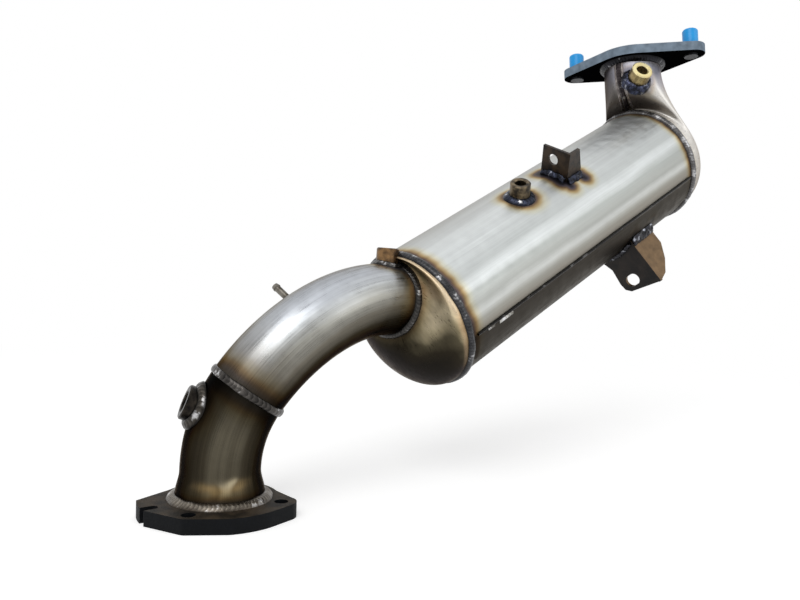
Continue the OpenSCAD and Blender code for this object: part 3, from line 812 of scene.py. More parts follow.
def sweep_frames(frames: Sequence[Place], radii: Array, angles: Array) -> Array:
    """Circles about a row of frames: each origin plus the radius times the turned unit circle.

    Args:
        frames: Frames along the path, Z along it.
        radii: Radius at each frame.
        angles: Angles around.

    Returns:
        Grid of points, frames by angles.
    """
    turns = np.stack([f.turn for f in frames])
    at = np.stack([f.at for f in frames])
    return at[:, None] + radii[:, None, None] * np.einsum("rij,cj->rci", turns, circle(angles))


def outward(points: Array) -> Array:
    """Normals of a wrapped grid: the cross product of its two directions, turned away from its middle.

    Args:
        points: The grid.

    Returns:
        Unit normals.
    """
    du = np.gradient(points, axis=0)
    dv = np.roll(points, -1, 1) - np.roll(points, 1, 1)
    n = np.cross(du, dv)
    n /= np.linalg.norm(n, axis=-1, keepdims=True) + 1e-12
    away = points - points.mean(1, keepdims=True)
    return n * np.sign((n * away).sum())


def arc_lengths(points: Array) -> Array:
    """Running length along the first axis of a grid, in millimetres, taken along the middles of its rings."""
    step = np.linalg.norm(np.diff(points.mean(1), axis=0), axis=-1)
    return np.concatenate([[0.0], np.cumsum(step)])


def painted_light_level(normal: Array, lit_side: Array) -> Array:
    """Painted light and shade by the wall's facing, from 0 on its painted shaded side to 1 on its painted lit
    side.
    """
    return np.clip(0.5 + 0.5 * (normal @ lit_side), 0, 1)


@dataclass
class Bead:
    """A weld bead swept along a line on a surface.

    Attributes:
        name: Piece name.
        line: Points along the weld.
        up: Direction out of the surface at each point.
        side: Direction across the weld at each point.
        width: Width across.
        height: Height at the crown.
        fillet: True where the bead fills a corner, with its tall side at the start of side.
        pitch: Length of one ripple.
        dark, bright: Colours of hollows and crests.
        spark: How strong the painted glints along the bead are.
        closed: True for a ring.
        seed: Picks the bead's noise.
        steps: Points across.
        bow, stray: How far a ripple bows across the bead and strays along it, in ripples.
        wide_var, tall_var: Shares by which width and height wander.
        relief, bulge: Height of a ripple and of a fillet's belly, as shares of the bead's height.
        sink: Depth of the edges inside the wall.
        glint_colour: Colour of the painted glints.
    """

    name: str
    line: Array
    up: Array
    side: Array
    width: float
    height: float
    fillet: bool = False
    pitch: float = 3.1
    dark: Rgb = (34, 33, 33)
    bright: Rgb = (112, 110, 108)
    spark: float = 0.7
    closed: bool = True
    seed: int = 1
    steps: int = 17
    bow: float = 0.55
    stray: float = 0.45
    wide_var: float = 0.10
    tall_var: float = 0.12
    relief: float = 0.09
    bulge: float = 0.16
    sink: float = 0.4
    glint_colour: Rgb = (226, 226, 228)

    def _section(self, t: Array, wander: Array) -> tuple[Array, Array, Array]:
        """Cross-section of the bead: a falling power curve with a belly for a fillet, else half an ellipse.

        Args:
            t: Position across, 0 to 1, as a column.
            wander: Noise along the bead.

        Returns:
            Offsets across, heights, and the crown that is 0 at the edges and 1 in the middle.
        """
        wide = self.width * (1 + self.wide_var * wander)
        tall = self.height * (1 + self.tall_var * wander)
        if self.fillet:
            crown = np.sin(math.pi * t)
            rise = tall[None] * (1 - t) ** 0.8 + self.bulge * self.height * crown
            return wide[None] * t, rise, crown
        crown = np.sqrt(np.clip(1 - (2 * t - 1) ** 2, 0, 1))
        return wide[None] * (t - 0.5), tall[None] * crown, crown

    def surface(self) -> Surface:
        """The cross-section carried along the line, with ripples that bow across it and wander along it.

        Returns:
            The bead as a grid, across by along.
        """
        t = np.linspace(0, 1, self.steps)[:, None]
        gap = np.linalg.norm(np.roll(self.line, -1, 0) - self.line, axis=1)
        run = np.concatenate([[0], np.cumsum(gap)[:-1]])
        total = run[-1] + gap[-1] if self.closed else run[-1]
        count = max(3, round(total / self.pitch))
        turn = run / total * 2 * math.pi
        ring = np.stack([np.cos(turn), np.sin(turn)], -1) * total / 6.0
        wander = ripple_noise(ring, 26.0, self.seed, 3)
        phase = run[None] / total * count + self.bow * (2 * t - 1) ** 2 + self.stray * wander[None]
        crest = np.clip(1.0 - np.mod(phase, 1.0), 0, 1) ** 1.6
        across, rise, crown = self._section(t, wander)
        rise = rise + self.relief * self.height * (crest - 0.5) * np.clip(crown, 0, 1)
        rise[-1] -= self.sink
        if not self.fillet:
            rise[0] -= self.sink
        points = self.line[None] + across[..., None] * self.side[None] + rise[..., None] * self.up[None]
        blot = ripple_noise(points, 17.0, self.seed + 7)
        ripple = np.clip(0.25 + 0.5 * crest + 0.35 * blot, 0, 1) * np.clip(crown * 1.2, 0.1, 1)
        tint = mix(srgb(*self.dark), srgb(*self.bright), ripple)
        # Painted glints: near-white patches on the bead's crown.
        spark = smooth(blot + 0.25 * crest, 0.42, 0.75) * np.clip(crown, 0, 1)
        tint = mix(tint, srgb(*self.glint_colour), self.spark * spark)
        grain = grain_grid(run, across, points.shape[:2])
        facing = np.broadcast_to(self.up[None], points.shape)
        return Surface(self.name, points, tint, grain, self.closed, facing)


def ring_line(place: Place, radius: float, z: float, n: int = 420) -> tuple[Array, Array, Array]:
    """A circle about a frame's Z axis.

    Args:
        place: The frame.
        radius: Radius of the circle.
        z: Height along the axis.
        n: Number of points.

    Returns:
        Points, outward directions and directions along the axis.
    """
    out = circle(around(n))
    points = place.points(out * radius + np.array([0, 0, z]))
    return points, place.directions(out), np.broadcast_to(place.turn[:, 2], points.shape)


def saddle_line(place: Place, ring_r: float, wall_r: float, n: int = 260) -> tuple[Array, Array, Array]:
    """A circle around a boss, laid onto a round wall of height sqrt(wall_r squared less y squared).

    Args:
        place: Frame of the boss on the wall, Z pointing out.
        ring_r: Radius of the circle.
        wall_r: Radius of the wall.
        n: Number of points.

    Returns:
        Points on the wall, wall normals and directions away from the boss.
    """
    a = around(n)
    x, y = ring_r * np.cos(a), ring_r * np.sin(a)
    depth = np.sqrt(np.clip(wall_r ** 2 - y ** 2, 1.0, None))
    local = np.stack([x, y, depth - wall_r], -1)
    up = np.stack([np.zeros(n), y / wall_r, depth / wall_r], -1)
    out = circle(a)
    out -= (out * up).sum(-1, keepdims=True) * up
    out /= np.linalg.norm(out, axis=-1, keepdims=True)
    return place.points(local), place.directions(up), place.directions(out)


# Lower pipe colours by painted light level, dark brown throughout: painted shade away from the light, lighter
# where the wall faces it.
LOWER_PAINTED_LIGHT: Stops = (
    (0.05, srgb(48, 44, 38)), (0.40, srgb(12, 10, 8)), (0.62, srgb(18, 16, 12)), (0.80, srgb(32, 28, 21)),
    (0.93, srgb(56, 51, 41)), (1.02, srgb(82, 77, 65)),
)
# Upper pipe colours by painted light level: painted shade away from the light, a broad painted highlight
# where the wall faces it.
UPPER_PAINTED_LIGHT: Stops = (
    (0.02, srgb(74, 69, 62)), (0.24, srgb(28, 25, 20)), (0.42, srgb(54, 50, 42)), (0.60, srgb(104, 100, 91)),
    (0.74, srgb(152, 151, 144)), (0.88, srgb(186, 189, 190)), (1.0, srgb(182, 186, 192)),
)
# Colours of the painted warm sheen band above the lower pipe's foot and of its small painted highlight.
WARM_SHEEN = srgb(128, 108, 74)
SPOT_HIGHLIGHT = srgb(255, 240, 202)
BROWNING = srgb(140, 126, 106)
# Colour functions of the pipes, painted light and shade included.
LitColour = Callable[[Array, Array, Array, Array], Array]


@dataclass
class Pipes:
    """Lower and upper inlet pipe.

    Attributes:
        heat: Welds that tint the walls.
        rings, foot_rings, cols: Rings of a pipe, those on the straight foot among them, and points around.
        flare_from, flare_to: Where the foot's flare narrows along the pipe.
        overrun: Degrees by which the upper pipe reaches past the cap's mouth.
        lower_lit_side, upper_lit_side: Directions towards which the walls are painted lit, with painted shade
            on the far sides.
        sheen_at, sheen_half: Place and half width of the straw band above the foot, a painted warm sheen on
            the lit side.
        highlight_spot: Direction of the small painted highlight in the band.
        dull_from, dull_to: Stretch over which the lower pipe darkens towards the joint.
        brown_from, brown_to: Stretch over which the upper pipe's brown end fades.
    """

    heat: HeatMap
    rings: int = 200
    foot_rings: int = 50
    cols: int = 256
    flare_from: float = 3.0
    flare_to: float = 22.0
    overrun: float = 3.2
    lower_lit_side: tuple[float, float, float] = (-0.45, -0.88, 0.12)
    upper_lit_side: tuple[float, float, float] = (-0.40, -0.34, 0.85)
    sheen_at: float = 16.0
    sheen_half: float = 4.0
    highlight_spot: tuple[float, float, float] = (-0.36, -0.93, 0.0)
    dull_from: float = 50.0
    dull_to: float = 88.0
    brown_from: float = 4.0
    brown_to: float = 52.0

    def lower(self) -> Surface:
        """The lower pipe: circles along a straight foot, whose radius narrows by a smooth step, and a bend.

        Returns:
            The wall, dark brown with draw lines, painted light and shade by facing, and a painted warm sheen
            above the foot.
        """
        straight = np.linspace(0, S.lower_straight, self.foot_rings)
        turn = np.linspace(0, S.lower_a, self.rings - self.foot_rings)[1:]
        foot = ROOT.turned("Z", S.lower_dir)
        frames = [foot.moved(0, 0, S.flange_t + s) for s in straight] + [lower_at(a) for a in turn]
        run = np.concatenate([straight, S.lower_straight + np.radians(turn) * S.lower_r])
        radii = S.foot_r + (S.pipe_r - S.foot_r) * smooth(run, self.flare_from, self.flare_to)
        return self._wall("lower_pipe_wall", frames, radii, run, self._lower_lit_colour)

    def upper(self) -> Surface:
        """The upper pipe: circles of one radius along a bend.

        Returns:
            The wall, grey with a painted highlight on its back, painted shade on its other side, and a brown
            end.
        """
        turn = np.linspace(0, S.upper_a + self.overrun, self.rings)
        frames = [upper_at(a) for a in turn]
        radii = np.full(len(turn), S.pipe_r)
        return self._wall("upper_pipe_wall", frames, radii, np.radians(turn) * S.upper_r, self._upper_lit_colour)

    def _lower_lit_colour(self, normal: Array, run: Array, line: Array, noise: Array) -> Array:
        """Colour of the lower pipe before its heat tint, with painted light and shade by facing, a painted
        warm sheen band above the foot and a small painted highlight in it.

        Args:
            normal: Directions out of the wall.
            run: Length along the pipe, as a column.
            line, noise: Draw lines and blotches.

        Returns:
            One colour per point.
        """
        # Painted light and shade by facing, with a little draw-line and blotch wobble.
        lit_and_grain = painted_light_level(normal, unit(*self.lower_lit_side)) + 0.07 * line + 0.03 * noise
        base = ramp(lit_and_grain, LOWER_PAINTED_LIGHT)
        # A straw band above the foot, shown only where the wall is painted lit, as a painted warm sheen, with
        # a small painted highlight inside it.
        straw = np.exp(-((run - self.sheen_at - 5 * noise) / self.sheen_half) ** 2)
        highlight_spot = straw * smooth(normal @ unit(*self.highlight_spot) + 0.015 * noise, 0.945, 0.99)
        base = mix(base, WARM_SHEEN, 0.7 * straw * smooth(lit_and_grain, 0.8, 1.0))
        base = mix(base, SPOT_HIGHLIGHT, 0.95 * highlight_spot)
        return base * (1 - 0.6 * smooth(run, self.dull_from, self.dull_to))[..., None]

    def _upper_lit_colour(self, normal: Array, run: Array, line: Array, noise: Array) -> Array:
        """Colour of the upper pipe before its heat tint, with a painted highlight on its back and painted
        shade on its other side.

        Args:
            normal: Directions out of the wall.
            run: Length along the pipe, as a column.
            line, noise: Draw lines and blotches.

        Returns:
            One colour per point.
        """
        # Painted light and shade by facing: a broad painted highlight on the back, painted shade away from
        # it.
        lit_and_grain = painted_light_level(normal, unit(*self.upper_lit_side)) + 0.05 * line + 0.03 * noise
        base = ramp(lit_and_grain, UPPER_PAINTED_LIGHT)
        brown = 1 - smooth(run + 10 * noise, self.brown_from, self.brown_to)
        return mix(base, base * BROWNING, 0.9 * brown)

    def _wall(self, name: str, frames: list[Place], radii: Array, run: Array, lit_colour: LitColour) -> Surface:
        """One pipe's wall with its colours.

        Args:
            name: Piece name.
            frames: Frames along the pipe.
            radii: Radius at each frame.
            run: Length along the pipe at each frame.
            lit_colour: Gives the colour before the heat tint, painted light and shade included.

        Returns:
            The wall as a grid, along by around.
        """
        a = around(self.cols)
        points = sweep_frames(frames, radii, a)
        shape = points.shape[:2]
        along = run[:, None]
        noise = ripple_noise(points, 60.0, 11)
        line = ripple_noise(grain_grid(a * 32, along * 0.05, shape)[..., :2], 24.0, 5)
        base = lit_colour(outward(points), along, line, noise)
        tint = temper(base, self.heat.distance(points) + 3.0 * noise, 0.75)
        return Surface(name, points, tint, grain_grid(a * S.pipe_r, along, shape))


# Can colours by angle around it from its top: painted light and shade, light grey on top and darker towards
# the back and the underside, two narrow painted highlight stripes near 64 and 87 degrees, a dark seam line
# near 105 degrees, then painted shade along the lap strip.
CAN_PAINTED_LIGHT_AND_SEAM: Stops = (
    (-180, srgb(40, 38, 36)), (-110, srgb(92, 90, 86)), (-60, srgb(132, 130, 126)),
    (-20, srgb(170, 171, 170)), (12, srgb(206, 209, 209)), (36, srgb(216, 220, 220)),
    (58, srgb(190, 194, 193)), (64, srgb(212, 216, 216)), (69, srgb(180, 184, 181)),
    (82, srgb(172, 174, 170)), (87, srgb(206, 208, 205)), (92, srgb(168, 167, 160)),
    (98, srgb(148, 144, 135)), (102, srgb(134, 129, 119)), (105, srgb(54, 50, 45)),
    (122, srgb(42, 38, 34)), (150, srgb(24, 22, 20)), (180, srgb(40, 38, 36)),
)


@dataclass
class Can:
    """The rolled can with its lap strip.

    Attributes:
        heat: Welds that tint the wall.
        rows, cols: Points along and around.
        lap_step: Degrees to each side of the strip's first edge over which it rises.
        lap_fade: Degrees before the strip's last edge over which it falls.
        lap_from, lap_full: Distances from the can's ends at which the strip starts and is full.
    """

    heat: HeatMap
    rows: int = 180
    cols: int = 400
    lap_step: float = 0.4
    lap_fade: float = 1.0
    lap_from: float = 6.0
    lap_full: float = 8.0

    def surface(self) -> Surface:
        """A cylinder whose radius steps up by the strip's thickness between two angles.

        Returns:
            The wall, satin silver, with painted light and shade around it, painted highlight stripes and
            painted shade along the underside, and straw beside the welds.
        """
        z = np.linspace(0, S.can_l, self.rows)
        psi = around(self.cols)
        deg = np.degrees(psi)
        lap_end = S.lap_start + S.lap_width
        lap = smooth(deg, S.lap_start - self.lap_step, S.lap_start + self.lap_step)
        lap = lap * (1 - smooth(deg, lap_end - self.lap_fade, lap_end))
        inside = smooth(z, self.lap_from, self.lap_full)
        inside = inside * (1 - smooth(z, S.can_l - self.lap_full, S.can_l - self.lap_from))
        radius = S.can_r + S.lap_t * lap[None] * inside[:, None]
        along = np.broadcast_to(z[:, None], radius.shape)
        points = CAN.points(np.stack([radius * np.cos(psi), radius * np.sin(psi), along], -1))
        noise = ripple_noise(points, 70.0, 21)
        streak = ripple_noise(grain_grid(psi * 65, along * 0.012, radius.shape)[..., :2], 20.0, 3)
        signed = (deg + 180) % 360 - 180
        # Painted light and shade around the can.
        base = ramp(signed[None] + 3.0 * streak + 1.5 * noise, CAN_PAINTED_LIGHT_AND_SEAM)
        base = base * (0.96 + 0.05 * streak + 0.02 * noise)[..., None]
        tint = temper(base, self.heat.distance(points) + 3.5 * noise + 1.5 * streak)
        return Surface("can_wall", points, tint, grain_grid(psi * S.can_r, along, radius.shape))


def bezier(p0: Array, p1: Array, p2: Array, p3: Array, t: Array) -> Array:
    """Cubic curves between rows of points, stacked along a new first axis."""
    t = t[:, None, None]
    return (1 - t) ** 3 * p0 + 3 * t * (1 - t) ** 2 * p1 + 3 * t ** 2 * (1 - t) * p2 + t ** 3 * p3


# Cap colours by painted light level: dark in painted shade, golden where painted lit.
CAP_PAINTED_LIGHT: Stops = (
    (0.12, srgb(7, 7, 6)), (0.36, srgb(14, 13, 10)), (0.48, srgb(34, 30, 21)), (0.60, srgb(80, 74, 58)),
    (0.70, srgb(154, 143, 116)), (0.82, srgb(222, 207, 176)), (0.96, srgb(240, 230, 210)),
)
# Hood colours by painted light level: painted shade away from the light, pale where the wall faces it.
HOOD_PAINTED_LIGHT: Stops = (
    (0.08, srgb(104, 98, 92)), (0.32, srgb(66, 60, 56)), (0.45, srgb(86, 80, 75)),
    (0.60, srgb(146, 141, 135)), (0.78, srgb(202, 198, 192)), (1.0, srgb(220, 217, 212)),
)
# Colour of the painted highlight along the cap's lip.
CAP_LIP_HIGHLIGHT = srgb(184, 158, 132)
# Dark colour of the painted shade on the hood's far half.
HOOD_FAR_SHADE = srgb(40, 35, 36)
HOOD_BLUEING = srgb(186, 192, 222)


@dataclass
class Cones:
    """The pressed inlet cap and the outlet hood.

    Attributes:
        heat: Welds that tint the walls.
        cols: Points around.
        mouth_gap: Gap between the pipe and the round of the cap's mouth.
        cap_skirt: Length of the cap's straight skirt on the can.
        cap_lean, cap_lean_var: How far the cap bulges off the can, and how much less at its top.
        cap_flare, cap_flare_var: How far the cap runs flat into its mouth, and how much less at its top.
        cap_lit_side, hood_lit_side: Directions towards which the walls are painted lit, with painted shade on
            the far sides.
        lip_at: Distance from the can's end of the cap's lip, along which a pale highlight is painted.
        hood_rim: Length of the hood's straight rim on the can.
        hood_reach, hood_reach_var: How far the hood runs on along the can, and how much less at its top.
        hood_drop, hood_drop_var: How far the neck's direction reaches down, and how much less at its top.
        seam_from, seam_to: Rows of the hood's grid that a seam leaves out at the rim and at the flange.
        grain_r: Mean radius that the grain is measured at.
    """

    heat: HeatMap
    cols: int = 320
    mouth_gap: float = 3.5
    cap_skirt: float = 5.0
    cap_lean: float = 13.0
    cap_lean_var: float = 9.0
    cap_flare: float = 10.0
    cap_flare_var: float = 7.0
    cap_lit_side: tuple[float, float, float] = (-0.09, -0.71, 0.70)
    hood_lit_side: tuple[float, float, float] = (-0.50, -0.78, 0.38)
    lip_at: float = 6.5
    hood_rim: float = 9.0
    hood_reach: float = 34.0
    hood_reach_var: float = 26.0
    hood_drop: float = 42.0
    hood_drop_var: float = 8.0
    seam_from: int = 12
    seam_to: int = 6
    grain_r: float = 50.0

    def _outs(self, place: Place) -> Array:
        """Directions around a ring's plane, from the can's up direction on and turning as its rim does.

        Args:
            place: Frame of the ring.

        Returns:
            One direction per column.
        """
        a = around(self.cols)
        n = place.turn[:, 2]
        up = CAN.turn[:, 0] - (CAN.turn[:, 0] @ n) * n
        up /= np.linalg.norm(up)
        return np.cos(a)[:, None] * up + np.sin(a)[:, None] * np.cross(n, up)

    def _rims(self, z: float, shifts: Array) -> Array:
        """Rings of the can's radius, shifted along the can from z."""
        rim = circle(around(self.cols), S.can_r, z)
        return np.stack([CAN.points(rim + np.array([0, 0, s])) for s in shifts])

    def _varied(self, size: float, less: float) -> Array:
        """A size around the ring, as a column: less at the top and more at the bottom, by a cosine."""
        return (size - less * np.cos(around(self.cols)))[:, None]

    def _grain(self, points: Array) -> Array:
        """Grain around and along a cone's grid."""
        return grain_grid(around(self.cols) * self.grain_r, arc_lengths(points)[:, None], points.shape[:2])

    def inlet(self) -> Surface:
        """The cap: a straight skirt, then cubic curves from the can's rim to a ring around the tilted pipe.

        Returns:
            The wall, golden above and dark below, as painted light and shade.
        """
        out = self._outs(ENTRY)
        collar = ENTRY.at + (S.pipe_r + self.mouth_gap) * out
        skirt = self._rims(0.0, -np.linspace(0, self.cap_skirt, 8))
        push = skirt[-1] - CAN.turn[:, 2] * self._varied(self.cap_lean, self.cap_lean_var)
        pull = collar + out * self._varied(self.cap_flare, self.cap_flare_var)
        blend = bezier(skirt[-1], push, pull, collar, np.linspace(0, 1, 70)[1:])
        mouth = np.stack([collar - out * s for s in np.linspace(0.5, 3.4, 4)])
        points = np.concatenate([skirt, blend, mouth])
        noise = ripple_noise(points, 46.0, 31)
        place = (points - CAN.at) @ CAN.turn
        # Painted light and shade: lighter towards the top and towards the lit side.
        height = smooth(place[..., 0] + 0.35 * place[..., 1] + 6 * noise, -62.0, 58.0)
        level = 0.45 * painted_light_level(outward(points), unit(*self.cap_lit_side)) + 0.55 * height + 0.04 * noise
        base = ramp(level, CAP_PAINTED_LIGHT)
        # A pale painted highlight along the cap's lip, only where the wall is painted lit.
        lip = np.abs((points - CAN.at) @ CAN.turn[:, 2] + self.lip_at) + 0.6 * noise
        base = mix(base, CAP_LIP_HIGHLIGHT, 0.4 * (1 - smooth(lip, 1.2, 3.4)) * smooth(level, 0.35, 0.7))
        tint = temper(base, 7 + self.heat.distance(points) * 1.1 + 3 * noise, 0.55)
        return Surface("inlet_cap", points, tint, self._grain(points))

    def _hood_points(self) -> Array:
        """The hood: a straight rim, cubic curves from the can's heading to the outlet's, a straight neck.

        Returns:
            Grid of points, along by around.
        """
        n = OUTLET.turn[:, 2]
        neck = OUTLET.at - n * S.neck_h + S.neck_r * self._outs(OUTLET)
        rim = self._rims(S.can_l, np.linspace(0, self.hood_rim, 10))
        push = rim[-1] + CAN.turn[:, 2] * self._varied(self.hood_reach, self.hood_reach_var)
        pull = neck - n * self._varied(self.hood_drop, self.hood_drop_var)
        blend = bezier(rim[-1], push, pull, neck, np.linspace(0, 1, 120)[1:])
        tube = np.stack([neck + n * s for s in np.linspace(0.6, S.neck_h - 0.2, 10)])
        return np.concatenate([rim, blend, tube])

    def seam(self, column: int) -> tuple[Array, Array, Array]:
        """A line up the hood.

        Args:
            column: Column of the hood's grid.

        Returns:
            Points, normals and directions across.
        """
        points = self._hood_points()
        across = np.roll(points, -1, 1) - np.roll(points, 1, 1)
        across /= np.linalg.norm(across, axis=-1, keepdims=True)
        rows = slice(self.seam_from, len(points) - self.seam_to)
        return points[rows, column], outward(points)[rows, column], across[rows, column]

    def outlet(self) -> Surface:
        """The hood that turns up to the outlet flange, on the grid of _hood_points.

        Returns:
            The wall, grey with painted light and shade by facing, painted shade on its far half, and blue
            near the flange.
        """
        points = self._hood_points()
        noise = ripple_noise(points, 46.0, 41)
        # Painted light and shade by facing.
        level = painted_light_level(outward(points), unit(*self.hood_lit_side)) + 0.05 * noise
        base = ramp(level, HOOD_PAINTED_LIGHT)
        # Painted shade over the hood's far half.
        far_shade = smooth(points[..., 1] - CAN.at[1] + 2 * noise, 2.0, 12.0)
        base = mix(base, HOOD_FAR_SHADE, 0.7 * far_shade * smooth(level, 0.4, 0.7))
        high = 1 - smooth((OUTLET.at - points) @ OUTLET.turn[:, 2] + 5 * noise, 14.0, 44.0)
        base = mix(base, base * HOOD_BLUEING, 0.8 * high)
        tint = temper(base, self.heat.distance(points) * 1.6 + 3 + 3 * noise, 0.4)
        return Surface("outlet_hood", points, tint, self._grain(points))


@dataclass
class Welds:
    """Every rippled bead of the part.

    Attributes:
        heat: Heat map that the welds are added to.
        beads: The beads, each with the CAD node it stands for and its slot.
        front_column: Column of the hood's grid under the front seam.
        lip_shift: Columns between a hood seam and its lips.
        lap_inset: Distance of the lap seam from the can's ends.
        lap_lift, lap_height: Height of the lap beads' line above the can and their own height.
        short_spread: Heat spread of the short welds that keep their CAD mesh.
    """

    heat: HeatMap
    beads: list[tuple[Bead, str, Slot]] = field(default_factory=list)
    front_column: int = -8
    lip_shift: int = 6
    lap_inset: float = 9.0
    lap_lift: float = 0.9
    lap_height: float = 0.9
    short_spread: float = 0.75

    def _put(self, bead: Bead, node: str, slot: Slot = Slot.WELD, spread: float = 1.0) -> None:
        """Keeps a bead and adds its line to the heat map."""
        self.beads.append((bead, node, slot))
        self.heat.add(bead.line[::4], spread)

    def _ring(self, name: str, node: str, place: Place, radius: float, z: float, width: float, height: float,
              spread: float, **look: object) -> None:
        """A bead that lies on a round wall as a ring."""
        line, out, along = ring_line(place, radius, z)
        self._put(Bead(name, line, out, along, width, height, **look), node, spread=spread)

    def _saddle(self, name: str, node: str, place: Place, ring_r: float, wall_r: float, width: float,
                height: float, spread: float, slot: Slot = Slot.WELD, **look: object) -> None:
        """A bead that fills the corner around a boss on a round wall."""
        line, up, side = saddle_line(place, ring_r, wall_r)
        self._put(Bead(name, line, up, side, width, height, True, **look), node, slot, spread)

    def rings(self) -> None:
        """Beads around the pipes, the can and the outlet's neck."""
        self._ring("joint_bead", "pipe_joint_weld", lower_at(S.lower_a), S.pipe_r, 0, 7.0, 1.9, 1.0, seed=3,
                   dark=(24, 22, 21), bright=(98, 94, 90), spark=1.0, pitch=4.4)
        self._ring("can_inlet_bead", "inlet_cone_can_weld", CAN, S.can_r, 0, 7.5, 2.8, 0.8, seed=4,
                   dark=(34, 34, 36), bright=(84, 84, 86), spark=0.5)
        self._ring("can_outlet_bead", "outlet_cone_can_weld", CAN, S.can_r, S.can_l, 8.0, 3.0, 0.7, seed=5,
                   dark=(56, 54, 54), bright=(128, 127, 128), spark=0.6)
        line, out, along = ring_line(ENTRY, S.pipe_r, 0)
        self._put(Bead("entry_bead", line, out, -along, 5.0, 3.6, True, seed=6,
                       dark=(30, 29, 28), bright=(88, 86, 84), spark=0.9), "inlet_cone_pipe_weld")
        line, out, along = ring_line(ROOT, S.foot_r, S.flange_t)
        self._put(Bead("foot_bead", line, along, out, 6.5, 4.6, True, seed=7,
                       dark=(58, 51, 44), bright=(150, 142, 130), spark=0.9), "inlet_flange_weld", spread=0.6)
        line, out, along = ring_line(OUTLET, S.neck_r, 0)
        self._put(Bead("neck_bead", line, -along, out, 5.5, 5.0, True, seed=8,
                       dark=(14, 14, 16), bright=(48, 48, 54), spark=0.4), "outlet_flange_weld", spread=0.8)

    def saddles(self) -> None:
        """Beads around the bosses and the nipple."""
        self._saddle("lambda_bead", "lambda_boss_weld", LAMBDA, S.lambda_boss_r, S.pipe_r,
                     6.0, 4.0, 0.9, seed=9, dark=(22, 20, 18), bright=(84, 79, 72), spark=0.6)
        self._saddle("pipe_boss_bead", "pipe_sensor_boss_weld", PIPE_BOSS, S.sensor_boss_r, S.pipe_r,
                     4.0, 3.0, 0.8, seed=10)
        self._saddle("nipple_bead", "pressure_nipple_weld", NIPPLE, S.nipple_r, S.pipe_r,
                     3.0, 2.0, 0.5, seed=11)
        self._saddle("can_boss_bead", "can_sensor_boss_weld", CAN_BOSS, S.sensor_boss_r, S.can_r,
                     6.0, 4.0, 0.85, Slot.DARK_WELD, seed=12, dark=(14, 15, 20), bright=(64, 70, 90),
                     spark=0.9)

    def hood_seams(self, cones: Cones) -> None:
        """The hood's two lengthwise seams with their lips.

        Args:
            cones: The cones, whose hood carries the seams.
        """
        for tag, column in (("front", self.front_column), ("rear", cones.cols // 2)):
            line, up, side = cones.seam(column % cones.cols)
            self._put(Bead(f"hood_seam_{tag}", line, up, side, 6.5, 2.0, seed=21, closed=False,
                           dark=(22, 19, 20), bright=(74, 66, 68), spark=0.3),
                      "outlet_cone_seam_weld", spread=0.5)
            for k, shift in enumerate((-self.lip_shift, self.lip_shift)):
                line, up, side = cones.seam((column + shift) % cones.cols)
                self._put(Bead(f"hood_lip_{tag}_{k}", line, up, side, 4.0, 1.0, seed=23 + k, closed=False,
                               dark=(84, 76, 76), bright=(176, 168, 164), spark=0.3, pitch=9.0),
                          "outlet_cone_seam_weld", spread=0.15)

    def lap_seam(self) -> None:
        """The can's lap seam with two tacks whose bright colours are painted highlights, straight along the
        can and without heat tint.
        """
        end = S.can_l - self.lap_inset
        z = np.linspace(self.lap_inset, end, 500)
        for name, degrees, low, high, width, dark, bright, spark in (
                ("lap_bead", 103.2, self.lap_inset, end, 3.0, (12, 11, 10), (34, 31, 28), 0.1),
                # The two tacks' bright colours are painted highlights.
                ("lap_tack_short", 105.0, 21, 31, 3.0, (58, 54, 48), (150, 147, 140), 0.8),
                ("lap_tack_long", 105.6, 37, 57, 4.4, (96, 92, 84), (214, 213, 208), 1.0)):
            a = math.radians(degrees)
            out = np.array([math.cos(a), math.sin(a), 0])
            run = z[(z >= low) & (z <= high)]
            line = CAN.points(out * (S.can_r + self.lap_lift) + run[:, None] * np.array([0, 0, 1.0]))
            up = np.broadcast_to(CAN.directions(out), line.shape)
            side = np.broadcast_to(CAN.directions(np.array([-math.sin(a), math.cos(a), 0])), line.shape)
            bead = Bead(name, line, up, side, width, self.lap_height, seed=31, closed=False, pitch=5.0,
                        dark=dark, bright=bright, spark=spark)
            self.beads.append((bead, "can_seam_weld", Slot.WELD))

    def take_nodes(self, nodes: dict[str, bpy.types.Object]) -> None:
        """Adds the welds that keep their CAD mesh to the heat map.

        Args:
            nodes: The frame's nodes by name.
        """
        for name in LUMPY:
            mesh = nodes[name].data
            co = np.empty(len(mesh.vertices) * 3, np.float32)
            mesh.vertices.foreach_get("co", co)
            self.heat.add(co.reshape(-1, 3)[::2].astype(float) / MM, self.short_spread)

    def build(self, material: bpy.types.Material) -> list[bpy.types.Object]:
        """Makes the beads' pieces."""
        return [bead.surface().build(material, slot, [node]) for bead, node, slot in self.beads]


def seen_rays(tree: bpy.types.NodeTree) -> bpy.types.NodeSocket:
    """One for rays that see or mirror the stage, zero for rays that light the object.

    Args:
        tree: Node tree that gets the nodes.

    Returns:
        The socket with the value.
    """
    path = tree.nodes.new("ShaderNodeLightPath")
    value = path.outputs["Is Camera Ray"]
    for name in ("Is Glossy Ray", "Is Transmission Ray"):
        either = tree.nodes.new("ShaderNodeMath")
        either.operation = "MAXIMUM"
        tree.links.new(value, either.inputs[0])
        tree.links.new(path.outputs[name], either.inputs[1])
        value = either.outputs[0]
    return value


